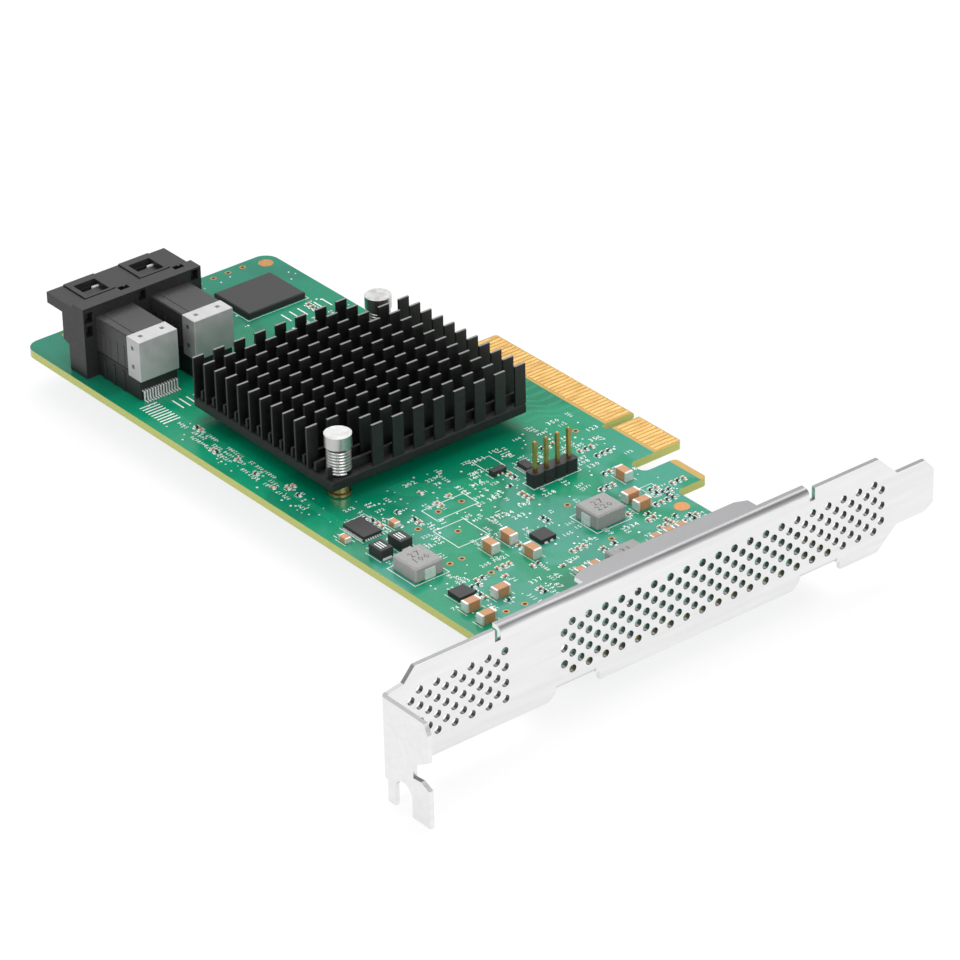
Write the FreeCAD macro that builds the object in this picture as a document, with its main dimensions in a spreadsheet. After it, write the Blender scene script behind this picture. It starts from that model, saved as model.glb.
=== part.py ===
import FreeCAD, Part
import math
import os
import re

import Sketcher

# A low-profile RAID / host bus adapter card in a full-height bracket.
#
# Frame, in millimetres: the card lies flat with its component side up.
#   X = 0  the middle of the keying notch in the edge connector, +X out through the bracket
#   Y = 0  the outer edge of the edge connector, the card itself lies towards -Y
#   Z = 0  the middle of the board's thickness, +Z out of the component side
#
# Every driving size is a cell of the sheet "dims".  Sizes and places of the sub-parts are
# expressions over those cells, so a changed cell carries through to what seats on it.

DIMENSIONS = [
    # the printed circuit board and its edge connector
    ("card_height", 68.90, "connector edge to the opposite long edge"),
    ("card_reach", 93.50, "notch centre to the end with the cable ports"),
    ("board_thickness", 1.57, "laminate"),
    ("connector_depth", 12.70, "how far the edge connector stands out of the board"),
    ("short_section", 11.65, "edge connector, bracket side of the notch"),
    ("long_section", 38.65, "edge connector, far side of the notch"),
    ("notch_width", 1.90, "keying notch"),
    ("notch_depth", 7.90, "keying notch"),
    ("connector_bevel", 0.45, "lead-in bevel on the connector edge"),
    ("hook_gap", 4.00, "between edge connector and hook"),
    ("hook_width", 8.60, "retention hook"),
    ("hook_inset", 5.40, "hook tip to connector edge"),
    ("foot_width", 12.50, "board foot under the lower bracket screw"),
    ("end_corner_radius", 3.00, "board corners at the port end"),
    ("small_corner_radius", 1.00, "other outside corners"),
    ("corner_cut", 0.90, "cut corners of the edge connector"),
    ("board_gap", 0.50, "board end to bracket"),
    # gold contact fingers
    ("finger_width", 0.70, "contact finger"),
    ("finger_pitch", 1.00, "contact finger spacing"),
    ("finger_length", 5.40, "contact finger"),
    ("finger_setback", 0.75, "bevelled edge to finger"),
    ("finger_thickness", 0.05, "plating, drawn thick enough to be a solid"),
    ("short_fingers", 11, "fingers in the short section"),
    ("long_fingers", 38, "fingers in the long section"),
    # the sheet metal bracket
    ("bracket_reach", 58.46, "notch centre to the bracket's outer face"),
    ("bracket_length", 120.02, "flange to tip"),
    ("bracket_width", 18.42, "face"),
    ("sheet", 0.86, "sheet metal thickness"),
    ("bend", 0.40, "inside bend radius"),
    ("face_above", 14.47, "face's upper edge above the board's top"),
    ("flange_drop", 102.85, "connector edge to the outside of the screw flange"),
    ("flange_reach", 11.45, "screw flange, outwards from the face"),
    ("flange_top", 11.40, "screw flange's upper edge above the board's top"),
    ("flange_below", 4.10, "screw flange below the face's lower edge"),
    ("slot_width", 4.42, "screw slot"),
    ("slot_inset", 4.75, "screw slot's centre line from the face"),
    ("slot_depth", 5.50, "screw slot, measured to the top of its round end"),
    ("tip_width", 10.19, "narrow tip of the bracket"),
    ("tip_length", 8.60, "narrow tip of the bracket"),
    ("tip_rise", 3.95, "tip's lower edge above the face's lower edge"),
    ("taper_length", 4.40, "sloping shoulders beside the tip"),
    ("stiffener_start", 24.20, "stiffening flange, from the screw flange"),
    ("stiffener_length", 67.00, "stiffening flange"),
    ("stiffener_depth", 2.10, "stiffening flange"),
    ("lip_start", 43.30, "wider part of the stiffening flange"),
    ("lip_length", 37.80, "wider part of the stiffening flange"),
    ("lip_depth", 5.30, "wider part of the stiffening flange"),
    ("relief_width", 1.20, "relief notch at a bend's end"),
    ("relief_depth", 2.30, "relief notch at a bend's end"),
    ("tab_width", 8.60, "mounting tab"),
    ("tab_length", 9.00, "mounting tab"),
    ("upper_tab", 63.00, "upper tab's centre from the connector edge"),
    ("lower_tab", 9.40, "lower tab's centre from the connector edge"),
    ("tab_hole_inset", 5.40, "tab's hole from the bracket's inner face"),
    # ventilation holes in the bracket
    ("vent_radius", 0.80, "ventilation hole"),
    ("vent_row", 3.05, "rows of holes"),
    ("vent_column", 3.52, "columns of the same kind"),
    ("vent_middle", 5.10, "middle row above the board's top"),
    ("upper_vents", 5.65, "first column from the screw flange"),
    ("upper_vent_columns", 6, "columns of each kind near the screw flange"),
    ("lower_vents", 37.40, "first column of the long field from the screw flange"),
    ("lower_vent_columns", 20, "tall columns in the long field"),
    # bracket screws
    ("screw_radius", 1.45, "screw shank"),
    ("screw_head_radius", 2.75, "pan head"),
    ("screw_head_height", 2.00, "pan head"),
    ("screw_tip", 0.40, "screw's end below the tab"),
    ("recess_length", 2.60, "cross recess"),
    ("recess_width", 0.60, "cross recess"),
    ("recess_depth", 1.10, "cross recess"),
    ("screw_clearance", 0.15, "board hole round the shank"),
    # controller and heatsink
    ("sink_x", -30.15, "heatsink centre"),
    ("sink_y", -39.35, "heatsink centre"),
    ("chip_side", 23.00, "controller package"),
    ("chip_height", 2.10, "controller package with its solder"),
    ("pad_thickness", 0.40, "thermal pad"),
    ("pad_side", 20.00, "thermal pad"),
    ("sink_depth", 43.60, "heatsink across the card"),
    ("sink_base", 2.00, "heatsink base"),
    ("fin_height", 8.10, "fins above the base"),
    ("fin_thickness", 0.85, "fin"),
    ("fin_pitch", 3.34, "fin spacing"),
    ("fin_count", 13, "rows of fins"),
    ("tab_rows", 10, "fin tabs in a row"),
    ("fin_tab", 2.40, "length of one fin tab"),
    ("rib_height", 1.80, "low rib between two rows"),
    ("rib_thickness", 0.60, "low rib"),
    ("rib_inset", 0.40, "low rib's end from the base edge"),
    ("ear_radius", 3.50, "rounded base corner under a push pin"),
    ("pin_inset_x", 2.70, "push pin's centre from the base edge"),
    ("pin_inset_y", 3.60, "push pin's centre from the base edge"),
    # push pins and their springs
    ("pin_radius", 1.40, "push pin shank"),
    ("pin_play", 0.20, "board and base holes round the shank"),
    ("cap_radius", 2.50, "push pin head"),
    ("cap_height", 2.40, "push pin head"),
    ("cap_top", 12.20, "push pin head's top above the board's top"),
    ("spring_radius", 2.05, "spring, to the wire's centre"),
    ("wire_radius", 0.24, "spring wire"),
    ("spring_turns", 4, "spring"),
    ("barb_radius", 1.95, "push pin's barb below the board"),
    ("barb_length", 2.20, "push pin's barb below the board"),
    # the two cable ports at the end of the board
    ("port_inset", 6.80, "board end to the front of the port housing"),
    ("port_margin", 1.45, "long board edge to the port housing"),
    ("housing_width", 26.30, "port housing"),
    ("housing_height", 13.40, "port housing"),
    ("housing_depth", 11.60, "port housing with its visor"),
    ("visor_depth", 4.70, "visor over the plug"),
    ("visor_thickness", 2.20, "visor over the plug"),
    ("ridge_rise", 0.85, "rear ridge above the visor"),
    ("ridge_depth", 3.10, "rear ridge"),
    ("frame_rise", 0.30, "raised frame round a latch window"),
    ("port_first", 9.05, "first port's centre from the housing's side"),
    ("port_pitch", 12.25, "port spacing"),
    ("port_width", 8.60, "port body"),
    ("port_top", 9.90, "port body above the board"),
    ("port_foot", 2.10, "port body's lower edge above the board"),
    ("port_seat", 1.20, "how far a port body enters the housing"),
    ("contact_slot", 4.50, "contact slots in a port body"),
    ("port_tail", 10.65, "port body behind the housing"),
    ("shield_depth", 3.90, "folded metal cover over a port body"),
    ("shield_sheet", 0.20, "folded metal cover"),
    ("tail_width", 0.45, "solder tail"),
    ("tail_pitch", 0.95, "solder tail spacing"),
    ("tail_count", 9, "solder tails of a port"),
    # flash memory, pin header and other components
    ("flash_x", -79.60, "flash memory"),
    ("flash_y", -25.00, "flash memory"),
    ("flash_length", 13.10, "flash memory"),
    ("flash_width", 10.90, "flash memory"),
    ("flash_height", 1.25, "flash memory"),
    ("header_x", 7.30, "pin header"),
    ("header_y", -25.85, "pin header's middle"),
    ("header_pitch", 2.54, "pin header"),
    ("header_pins", 4, "pin header"),
    ("header_side", 0.64, "square header pin"),
    ("header_pin_top", 8.54, "header pin above the board"),
    ("header_pin_tail", 1.45, "header pin below the board"),
    ("coil_side", 6.50, "inductor body"),
    ("coil_width", 6.10, "inductor body"),
    ("coil_height", 2.80, "inductor body"),
    ("coil_terminal", 2.20, "inductor terminal"),
    ("terminal_sheet", 0.20, "inductor terminal"),
    ("controller_length", 5.90, "power controller"),
    ("controller_width", 3.90, "power controller"),
    ("stage_side", 3.30, "power stage"),
    ("flat_height", 0.90, "power controller and power stages"),
    ("black_length", 3.50, "moulded capacitor"),
    ("black_width", 2.60, "moulded capacitor"),
    ("black_height", 1.90, "moulded capacitor"),
    ("ceramic_length", 3.20, "large ceramic capacitor"),
    ("ceramic_width", 1.70, "large ceramic capacitor"),
    ("ceramic_height", 1.80, "large ceramic capacitor"),
    ("small_length", 2.00, "small ceramic capacitor"),
    ("small_width", 1.25, "small ceramic capacitor"),
    ("small_height", 0.95, "small ceramic capacitor"),
]

doc = FreeCAD.newDocument("adapter_card")
sheet = doc.addObject("Spreadsheet::Sheet", "dims")
for row, (alias, value, meaning) in enumerate(DIMENSIONS, start=1):
    sheet.set(f"A{row}", meaning)
    sheet.set(f"B{row}", str(value))
    sheet.setAlias(f"B{row}", alias)
doc.recompute()

ALIASES = {alias for alias, _, _ in DIMENSIONS}

# sides of small round holes: there are two hundred of them, so they are kept to few faces
VENT_SIDES = 6
DRILLED_SIDES = 16
NODES = []


# ---------------------------------------------------------------- helpers

def linked(text):
    """The expression with each cell name written as a reference to the sheet."""
    return re.sub(r"[a-z_]+", lambda m: f"dims.{m.group()}" if m.group() in ALIASES else m.group(), text)


def number(text):
    """What an expression over the sheet is worth now."""
    values = re.sub(
        r"[a-z_]+",
        lambda m: repr(float(getattr(sheet, m.group()))) if m.group() in ALIASES else m.group(),
        text,
    )
    return float(sheet.evalExpression(values))


def bind(thing, **sizes):
    """Bind properties to expressions; double underscores stand for dots."""
    for path, text in sizes.items():
        thing.setExpression(path.replace("__", "."), linked(text))


def place(thing, x="0", y="0", z="0"):
    """Give a sub-part its place; z is measured from the board's top."""
    bind(
        thing,
        Placement__Base__x=x,
        Placement__Base__y=y,
        Placement__Base__z=f"board_thickness / 2 + {z}",
    )


def new_body(name):
    """A part design body that becomes one node."""
    body = doc.addObject("PartDesign::Body", name)
    body.Label = name
    body.AllowCompound = True
    NODES.append(body)
    return body


def sketch_on(body, role, name, offset="0"):
    """An empty sketch on one of the body's origin planes, moved along the plane's normal."""
    sketch = body.newObject("Sketcher::SketchObject", name)
    plane = next(p for p in body.Origin.OriginFeatures if p.Role == role)
    sketch.AttachmentSupport = [(plane, "")]
    sketch.MapMode = "FlatFace"
    bind(sketch, AttachmentOffset__Base__z=offset)
    return sketch


def axis_of(body, role):
    return next(a for a in body.Origin.OriginFeatures if a.Role == role)


def outline(sketch, corners):
    """A closed outline; each corner is a pair of expressions, held by two distances."""
    first = sketch.GeometryCount
    count = len(corners)
    points = [FreeCAD.Vector(number(a), number(b), 0) for a, b in corners]
    lines = [Part.LineSegment(point, points[(i + 1) % count]) for i, point in enumerate(points)]
    sketch.addGeometry(lines, False)
    joints = [
        Sketcher.Constraint("Coincident", first + i, 2, first + (i + 1) % count, 1)
        for i in range(count)
    ]
    held, texts = [], []
    for i, (a, b) in enumerate(corners):
        held.append(Sketcher.Constraint("DistanceX", -1, 1, first + i, 1, points[i].x))
        held.append(Sketcher.Constraint("DistanceY", -1, 1, first + i, 1, points[i].y))
        texts += [a, b]
    start = sketch.ConstraintCount + count
    sketch.addConstraint(joints + held)
    for i, text in enumerate(texts):
        sketch.setExpression(f"Constraints[{start + i}]", linked(text))


def rectangle(sketch, x0, y0, x1, y1):
    outline(sketch, [(x0, y0), (x1, y0), (x1, y1), (x0, y1)])


def circle(sketch, x, y, radius):
    """A circle held by its centre and its radius."""
    centre = FreeCAD.Vector(number(x), number(y), 0)
    g = sketch.addGeometry(Part.Circle(centre, FreeCAD.Vector(0, 0, 1), number(radius)), False)
    held = (
        ("DistanceX", (-1, 1, g, 3), x, centre.x),
        ("DistanceY", (-1, 1, g, 3), y, centre.y),
        ("Radius", (g,), radius, number(radius)),
    )
    for kind, where, text, value in held:
        index = sketch.addConstraint(Sketcher.Constraint(kind, *where, value))
        sketch.setExpression(f"Constraints[{index}]", linked(text))


def polygon_hole(sketch, x, y, radius, sides):
    """A small round hole drawn with few sides; the radius is that of the circle inside them."""
    corners = []
    for i in range(sides):
        angle = 2 * math.pi * (i + 0.5) / sides
        across = math.cos(angle) / math.cos(math.pi / sides)
        up = math.sin(angle) / math.cos(math.pi / sides)
        corners.append((f"{x} + ({radius}) * {across:.6f}", f"{y} + ({radius}) * {up:.6f}"))
    outline(sketch, corners)


def pad(body, sketch, length, reverse=False):
    feature = body.newObject("PartDesign::Pad", sketch.Name + "_pad")
    feature.Profile = sketch
    feature.Reversed = reverse
    bind(feature, Length=length)
    sketch.Visibility = False
    return feature


def pocket(body, sketch, length, reverse=False):
    """Cut the sketch out of the body, and make sure that it removed something."""
    doc.recompute()
    before = body.Shape.Volume
    feature = body.newObject("PartDesign::Pocket", sketch.Name + "_cut")
    feature.Profile = sketch
    feature.Reversed = reverse
    bind(feature, Length=length)
    doc.recompute()
    if not body.Shape.Volume < before - 0.001:
        raise ValueError(f"{sketch.Name} removed nothing")
    sketch.Visibility = False
    return feature


def row_of(body, feature, role, length, count, reverse=False):
    """Repeat a feature along one of the body's axes."""
    pattern = body.newObject("PartDesign::LinearPattern", feature.Name + "_row")
    pattern.Originals = [feature]
    pattern.Direction = (axis_of(body, role), [""])
    pattern.Reversed = reverse
    bind(pattern, Length=length, Occurrences=count)
    body.Tip = pattern
    return pattern


def edges_where(body, test):
    """Names of the body's edges whose middle point and direction pass the test."""
    doc.recompute()
    names = []
    for i, edge in enumerate(body.Shape.Edges, start=1):
        if edge.Curve.TypeId != "Part::GeomLine":
            continue
        middle = edge.valueAt((edge.FirstParameter + edge.LastParameter) / 2)
        along = edge.tangentAt(edge.FirstParameter)
        if test(middle, along, edge.Length):
            names.append(f"Edge{i}")
    if not names:
        raise ValueError(f"no edge of {body.Label} passes")
    return names


def dress(body, kind, names, size, **values):
    """A fillet or a chamfer on named edges."""
    base = body.Tip
    feature = body.newObject(f"PartDesign::{kind}", f"{body.Name}_{kind.lower()}")
    feature.Base = (base, names)
    bind(feature, **{"Radius" if kind == "Fillet" else "Size": size})
    for key, value in values.items():
        setattr(feature, key, value)
    body.Tip = feature
    doc.recompute()
    return feature


def near(a, b):
    return abs(a - b) < 0.01


def upright(along):
    return abs(along.z) > 0.99


# ---------------------------------------------------------------- places shared by several parts

LEFT = "-card_reach"
NEAR = "-card_height"
BOARD_EDGE = "-connector_depth"
FACE = "bracket_reach"
INNER_FACE = "(bracket_reach - sheet)"
RIGHT = "(bracket_reach - sheet - board_gap)"
SHORT_END = "(notch_width / 2 + short_section)"
LONG_END = "(-notch_width / 2 - long_section)"
HOOK_START = f"({SHORT_END} + hook_gap)"
HOOK_END = f"({HOOK_START} + hook_width)"
FLANGE = "-flange_drop"
FACE_TOP = "(board_thickness / 2 + face_above)"
FACE_BOTTOM = f"({FACE_TOP} - bracket_width)"
TAB_TOP = "(-board_thickness / 2)"
TAB_BOTTOM = "(-board_thickness / 2 - sheet)"
SCREW_X = f"({INNER_FACE} - tab_hole_inset)"
SINK_WIDTH = "((fin_count - 1) * fin_pitch + fin_thickness)"
SINK_BOTTOM = "(chip_height + pad_thickness)"
PINS = {
    "1": (f"(sink_x + {SINK_WIDTH} / 2 - pin_inset_x)", "(sink_y - sink_depth / 2 + pin_inset_y)"),
    "2": (f"(sink_x - {SINK_WIDTH} / 2 + pin_inset_x)", "(sink_y + sink_depth / 2 - pin_inset_y)"),
}


# ---------------------------------------------------------------- circuit board

def circuit_board():
    """Laminate with the edge connector, its notch, the hook and the foot, cut as one outline."""
    body = new_body("circuit_board")
    sketch = sketch_on(body, "XY_Plane", "board_outline", "-board_thickness / 2")
    foot = f"({RIGHT} - foot_width)"
    outline(
        sketch,
        [
            (LEFT, NEAR),
            (RIGHT, NEAR),
            (RIGHT, "-hook_inset"),
            (foot, "-hook_inset"),
            (foot, BOARD_EDGE),
            (HOOK_END, BOARD_EDGE),
            (HOOK_END, "-hook_inset"),
            (HOOK_START, "-hook_inset"),
            (HOOK_START, BOARD_EDGE),
            (SHORT_END, BOARD_EDGE),
            (SHORT_END, "-corner_cut"),
            (f"{SHORT_END} - corner_cut", "0"),
            ("notch_width / 2", "0"),
            ("notch_width / 2", "-notch_depth"),
            ("-notch_width / 2", "-notch_depth"),
            ("-notch_width / 2", "0"),
            (f"{LONG_END} + corner_cut", "0"),
            (LONG_END, "-corner_cut"),
            (LONG_END, BOARD_EDGE),
            (LEFT, BOARD_EDGE),
        ],
    )
    pad(body, sketch, "board_thickness")
    left, near_edge = number(LEFT), number(NEAR)
    edge, notch = number(BOARD_EDGE), number("-notch_depth")
    ends = edges_where(body, lambda m, a, n: upright(a) and near(m.x, left))
    dress(body, "Fillet", ends, "end_corner_radius")
    inner = edges_where(body, lambda m, a, n: upright(a) and near(m.y, notch))
    dress(body, "Fillet", inner, "notch_width / 2 - 0.02")
    concave = edges_where(
        body,
        lambda m, a, n: upright(a) and near(m.y, edge) and m.x > number(SHORT_END) - 0.1,
    )
    dress(body, "Fillet", concave, "small_corner_radius * 1.4")
    hook_start, hook_end = number(HOOK_START) - 0.1, number(HOOK_END) + 0.1
    tips = edges_where(
        body,
        lambda m, a, n: upright(a) and m.y > edge + 1 and hook_start < m.x < hook_end,
    )
    dress(body, "Fillet", tips, "small_corner_radius")
    bevel = edges_where(body, lambda m, a, n: near(m.y, 0) and abs(a.x) > 0.99)
    dress(body, "Chamfer", bevel, "connector_bevel")

    holes = sketch_on(body, "XY_Plane", "board_holes", "board_thickness / 2")
    for x, y in PINS.values():
        polygon_hole(holes, x, y, "pin_radius + pin_play", DRILLED_SIDES)
    for tab in ("upper_tab", "lower_tab"):
        polygon_hole(holes, SCREW_X, f"-{tab}", "screw_radius + screw_clearance", DRILLED_SIDES)
    pocket(body, holes, "board_thickness")

    drill = sketch_on(body, "XY_Plane", "header_hole", "board_thickness / 2")
    polygon_hole(drill, "header_x", "(header_y - (header_pins - 1) * header_pitch / 2)", "header_side * 0.78", 8)
    row_of(body, pocket(body, drill, "board_thickness"), "Y_Axis", "(header_pins - 1) * header_pitch", "header_pins")


def edge_contacts(name, level, reverse):
    """One side's gold fingers: eleven beside the notch, thirty-eight beyond it."""
    body = new_body(name)
    outer = "-finger_setback"
    inner = "(-finger_setback - finger_length)"
    margin = "((short_section - (short_fingers - 1) * finger_pitch) / 2)"
    starts = {
        "short": (f"(notch_width / 2 + {margin})", "short_fingers", False),
        "long": (f"(-notch_width / 2 - {margin})", "long_fingers", True),
    }
    for section, (middle, count, backwards) in starts.items():
        sketch = sketch_on(body, "XY_Plane", f"{name}_{section}", level)
        left, right = f"{middle} - finger_width / 2", f"{middle} + finger_width / 2"
        rectangle(sketch, left, inner, right, outer)
        first = pad(body, sketch, "finger_thickness", reverse)
        row_of(body, first, "X_Axis", f"({count} - 1) * finger_pitch", count, backwards)


# ---------------------------------------------------------------- bracket

def vent_field(body, name, start, columns, rows):
    """Columns of round holes; a column has three or four, and the two kinds are staggered."""
    sketch = sketch_on(body, "YZ_Plane", name, FACE)
    for i in range(rows):
        level = f"(board_thickness / 2 + vent_middle + {i - (rows - 1) / 2} * vent_row)"
        polygon_hole(sketch, start, level, "vent_radius * 0.95", VENT_SIDES)
    first = pocket(body, sketch, "sheet")
    row_of(body, first, "Y_Axis", f"({columns} - 1) * vent_column", columns)


def bracket():
    """One folded sheet: vented face, screw flange, stiffening flange and two mounting tabs.

    The folded parts come first, each with a short piece of the face beyond its bend, and get
    their bend radii while they stand alone; the face then joins them.
    """
    body = new_body("bracket")
    fold = "(sheet + bend)"
    shoulder = f"({FLANGE} + bracket_length - tip_length - taper_length)"
    tip_foot = f"({FACE_BOTTOM} + tip_rise)"
    tip_top = f"({tip_foot} + tip_width)"
    end = f"({FLANGE} + bracket_length)"
    flange_level = "(board_thickness / 2 + flange_top)"
    start, stop = f"({FLANGE} + stiffener_start)", f"({FLANGE} + stiffener_start + stiffener_length)"
    spans = [(f"(-{tab} - tab_width / 2)", f"(-{tab} + tab_width / 2)") for tab in ("upper_tab", "lower_tab")]

    for i, (low, high) in enumerate(spans):
        tab = sketch_on(body, "XZ_Plane", f"mounting_tab_{i + 1}", f"-{high}")
        tangent = f"{TAB_TOP} + bend + 0.2"
        outline(
            tab,
            [
                (f"{INNER_FACE} - tab_length", TAB_BOTTOM),
                (FACE, TAB_BOTTOM),
                (FACE, tangent),
                (INNER_FACE, tangent),
                (INNER_FACE, TAB_TOP),
                (f"{INNER_FACE} - tab_length", TAB_TOP),
            ],
        )
        pad(body, tab, "tab_width")

    flange = sketch_on(body, "XZ_Plane", "screw_flange", "flange_drop")
    foot = f"({FACE_BOTTOM} - flange_below)"
    outer = f"({FACE} + flange_reach)"
    outline(
        flange,
        [
            (f"{FACE} + bend + 0.3", foot),
            (outer, foot),
            (outer, f"{foot} + 7.0"),
            (f"{outer} - 2.1", f"{foot} + 7.9"),
            (f"{outer} - 4.0", f"{foot} + 7.7"),
            (f"{outer} - 4.0", f"{foot} + 10.5"),
            (f"{outer} - 3.2", f"{foot} + 10.6"),
            (outer, f"{foot} + 12.4"),
            (outer, f"{flange_level} - 1.9"),
            (f"{outer} - 0.9", flange_level),
            (INNER_FACE, flange_level),
            (INNER_FACE, FACE_BOTTOM),
            (f"{FACE} + bend + 0.3", FACE_BOTTOM),
        ],
    )
    pad(body, flange, "sheet", reverse=True)
    root = sketch_on(body, "XY_Plane", "screw_flange_root", FACE_BOTTOM)
    rectangle(root, INNER_FACE, FLANGE, FACE, f"{FLANGE} + {fold} + 0.2")
    pad(body, root, f"{flange_level} - {FACE_BOTTOM}")

    strip = sketch_on(body, "XY_Plane", "stiffener", FACE_TOP)
    lip, lip_stop = f"({FLANGE} + lip_start)", f"({FLANGE} + lip_start + lip_length)"
    shallow, deep = f"({FACE} - stiffener_depth)", f"({FACE} - lip_depth)"
    outline(
        strip,
        [
            (FACE, start),
            (shallow, start),
            (shallow, lip),
            (f"{deep} + 1.0", lip),
            (deep, f"{lip} + 2.2"),
            (deep, f"{lip_stop} - 2.2"),
            (f"{deep} + 1.0", lip_stop),
            (shallow, lip_stop),
            (shallow, stop),
            (FACE, stop),
        ],
    )
    pad(body, strip, "sheet", reverse=True)
    spine = sketch_on(body, "XY_Plane", "stiffener_root", FACE_TOP)
    rectangle(spine, INNER_FACE, start, FACE, stop)
    pad(body, spine, f"{fold} + 0.2", reverse=True)

    x_in, x_out, thick = number(INNER_FACE), number(FACE), number("sheet")
    y_out, z_top, z_low = number(FLANGE), number(FACE_TOP), number(TAB_BOTTOM)
    outside = edges_where(
        body,
        lambda m, a, n: (upright(a) and near(m.x, x_in) and near(m.y, y_out))
        or (abs(a.y) > 0.99 and near(m.x, x_out) and (near(m.z, z_top) or near(m.z, z_low))),
    )
    dress(body, "Fillet", outside, fold)
    inside = edges_where(
        body,
        lambda m, a, n: (upright(a) and near(m.x, x_out) and near(m.y, y_out + thick))
        or (abs(a.y) > 0.99 and near(m.x, x_in) and (near(m.z, z_top - thick) or near(m.z, z_low + thick))),
    )
    dress(body, "Fillet", inside, "bend")

    face = sketch_on(body, "YZ_Plane", "bracket_face", INNER_FACE)
    corners = [(f"{FLANGE} + {fold}", FACE_BOTTOM)]
    for low, high in spans:
        corners += [
            (f"{low} - 1.6", FACE_BOTTOM),
            (f"{low} - 0.3", f"{TAB_BOTTOM} - 0.5"),
            (low, TAB_BOTTOM),
            (low, f"{TAB_TOP} + bend"),
            (high, f"{TAB_TOP} + bend"),
            (high, TAB_BOTTOM),
            (f"{high} + 0.7", TAB_BOTTOM),
            (f"{high} + 0.7", FACE_BOTTOM),
        ]
    corners += [
        (shoulder, FACE_BOTTOM),
        (f"{shoulder} + taper_length", tip_foot),
        (f"{end} - 1.9", tip_foot),
        (end, f"{tip_foot} + 1.2"),
        (end, f"{tip_top} - 2.3"),
        (f"{end} - 2.1", tip_top),
        (f"{shoulder} + taper_length", tip_top),
        (shoulder, FACE_TOP),
        (f"{stop} + relief_width", FACE_TOP),
        (f"{stop} + relief_width", f"{FACE_TOP} - relief_depth"),
        (stop, f"{FACE_TOP} - relief_depth"),
        (stop, f"{FACE_TOP} - {fold}"),
        (start, f"{FACE_TOP} - {fold}"),
        (start, f"{FACE_TOP} - relief_depth"),
        (f"{start} - relief_width", f"{FACE_TOP} - relief_depth"),
        (f"{start} - relief_width", FACE_TOP),
        (f"{FLANGE} + 6.6", FACE_TOP),
        (f"{FLANGE} + 4.3", f"{flange_level} + 0.5"),
        (f"{FLANGE} + {fold}", flange_level),
    ]
    outline(face, corners)
    pad(body, face, "sheet")

    slot = sketch_on(body, "XZ_Plane", "screw_slot", "flange_drop")
    middle = f"({FACE} + slot_inset)"
    arch = f"({foot} + slot_depth - slot_width / 2)"
    rectangle(slot, f"{middle} - slot_width / 2", f"{foot} - 1", f"{middle} + slot_width / 2", arch)
    pocket(body, slot, "sheet")
    crown = sketch_on(body, "XZ_Plane", "screw_slot_arch", "flange_drop")
    circle(crown, middle, arch, "slot_width / 2")
    pocket(body, crown, "sheet")

    taps = sketch_on(body, "XY_Plane", "tab_holes", TAB_TOP)
    for tab in ("upper_tab", "lower_tab"):
        polygon_hole(taps, SCREW_X, f"-{tab}", "screw_radius", DRILLED_SIDES)
    pocket(body, taps, "sheet")

    half = "vent_column / 2"
    vent_field(body, "upper_short_columns", f"({FLANGE} + upper_vents)", "upper_vent_columns", 3)
    vent_field(body, "upper_tall_columns", f"({FLANGE} + upper_vents + {half})", "upper_vent_columns", 4)
    vent_field(body, "lower_short_columns", f"({FLANGE} + lower_vents)", "(lower_vent_columns + 1)", 3)
    vent_field(body, "lower_tall_columns", f"({FLANGE} + lower_vents + {half})", "lower_vent_columns", 4)


def bracket_screws():
    """Two pan head screws with a cross recess, through the board into the tabs."""
    body = new_body("bracket_screws")
    top = "board_thickness / 2"
    tip = "(screw_tip + sheet + board_thickness)"
    shank = sketch_on(body, "XY_Plane", "screw_shank", top)
    circle(shank, SCREW_X, "-upper_tab", "screw_radius")
    shanks = row_of(body, pad(body, shank, tip, reverse=True), "Y_Axis", "upper_tab - lower_tab", "2")
    head = sketch_on(body, "XY_Plane", "screw_head", top)
    circle(head, SCREW_X, "-upper_tab", "screw_head_radius")
    heads = pad(body, head, "screw_head_height")
    row_of(body, heads, "Y_Axis", "upper_tab - lower_tab", "2")
    cross = sketch_on(body, "XY_Plane", "screw_recess", f"{top} + screw_head_height")
    long, short = "recess_length / 2", "recess_width / 2"
    outline(
        cross,
        [
            (f"{SCREW_X} + {a}", f"-upper_tab + {b}")
            for a, b in (
                (long, f"-{short}"),
                (long, short),
                (short, short),
                (short, long),
                (f"-{short}", long),
                (f"-{short}", short),
                (f"-{long}", short),
                (f"-{long}", f"-{short}"),
                (f"-{short}", f"-{short}"),
                (f"-{short}", f"-{long}"),
                (short, f"-{long}"),
                (short, f"-{short}"),
            )
        ],
    )
    row_of(body, pocket(body, cross, "recess_depth"), "Y_Axis", "upper_tab - lower_tab", "2")


# ---------------------------------------------------------------- controller, pad and heatsink

def controller_chip():
    """Ball grid package: a laminate with a smaller moulded cap."""
    body = new_body("controller_chip")
    base = sketch_on(body, "XY_Plane", "chip_laminate")
    rectangle(base, "-chip_side / 2", "-chip_side / 2", "chip_side / 2", "chip_side / 2")
    pad(body, base, "chip_height * 0.5")
    cap = sketch_on(body, "XY_Plane", "chip_cap", "chip_height * 0.5")
    rectangle(cap, "-chip_side * 0.44", "-chip_side * 0.44", "chip_side * 0.44", "chip_side * 0.44")
    pad(body, cap, "chip_height * 0.5")
    place(body, "sink_x", "sink_y")


def thermal_pad():
    """Soft pad between the controller and the heatsink."""
    box = doc.addObject("Part::Box", "thermal_pad")
    box.Label = "thermal_pad"
    bind(box, Length="pad_side", Width="pad_side", Height="pad_thickness")
    place(box, "sink_x - pad_side / 2", "sink_y - pad_side / 2", "chip_height")
    NODES.append(box)


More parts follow.
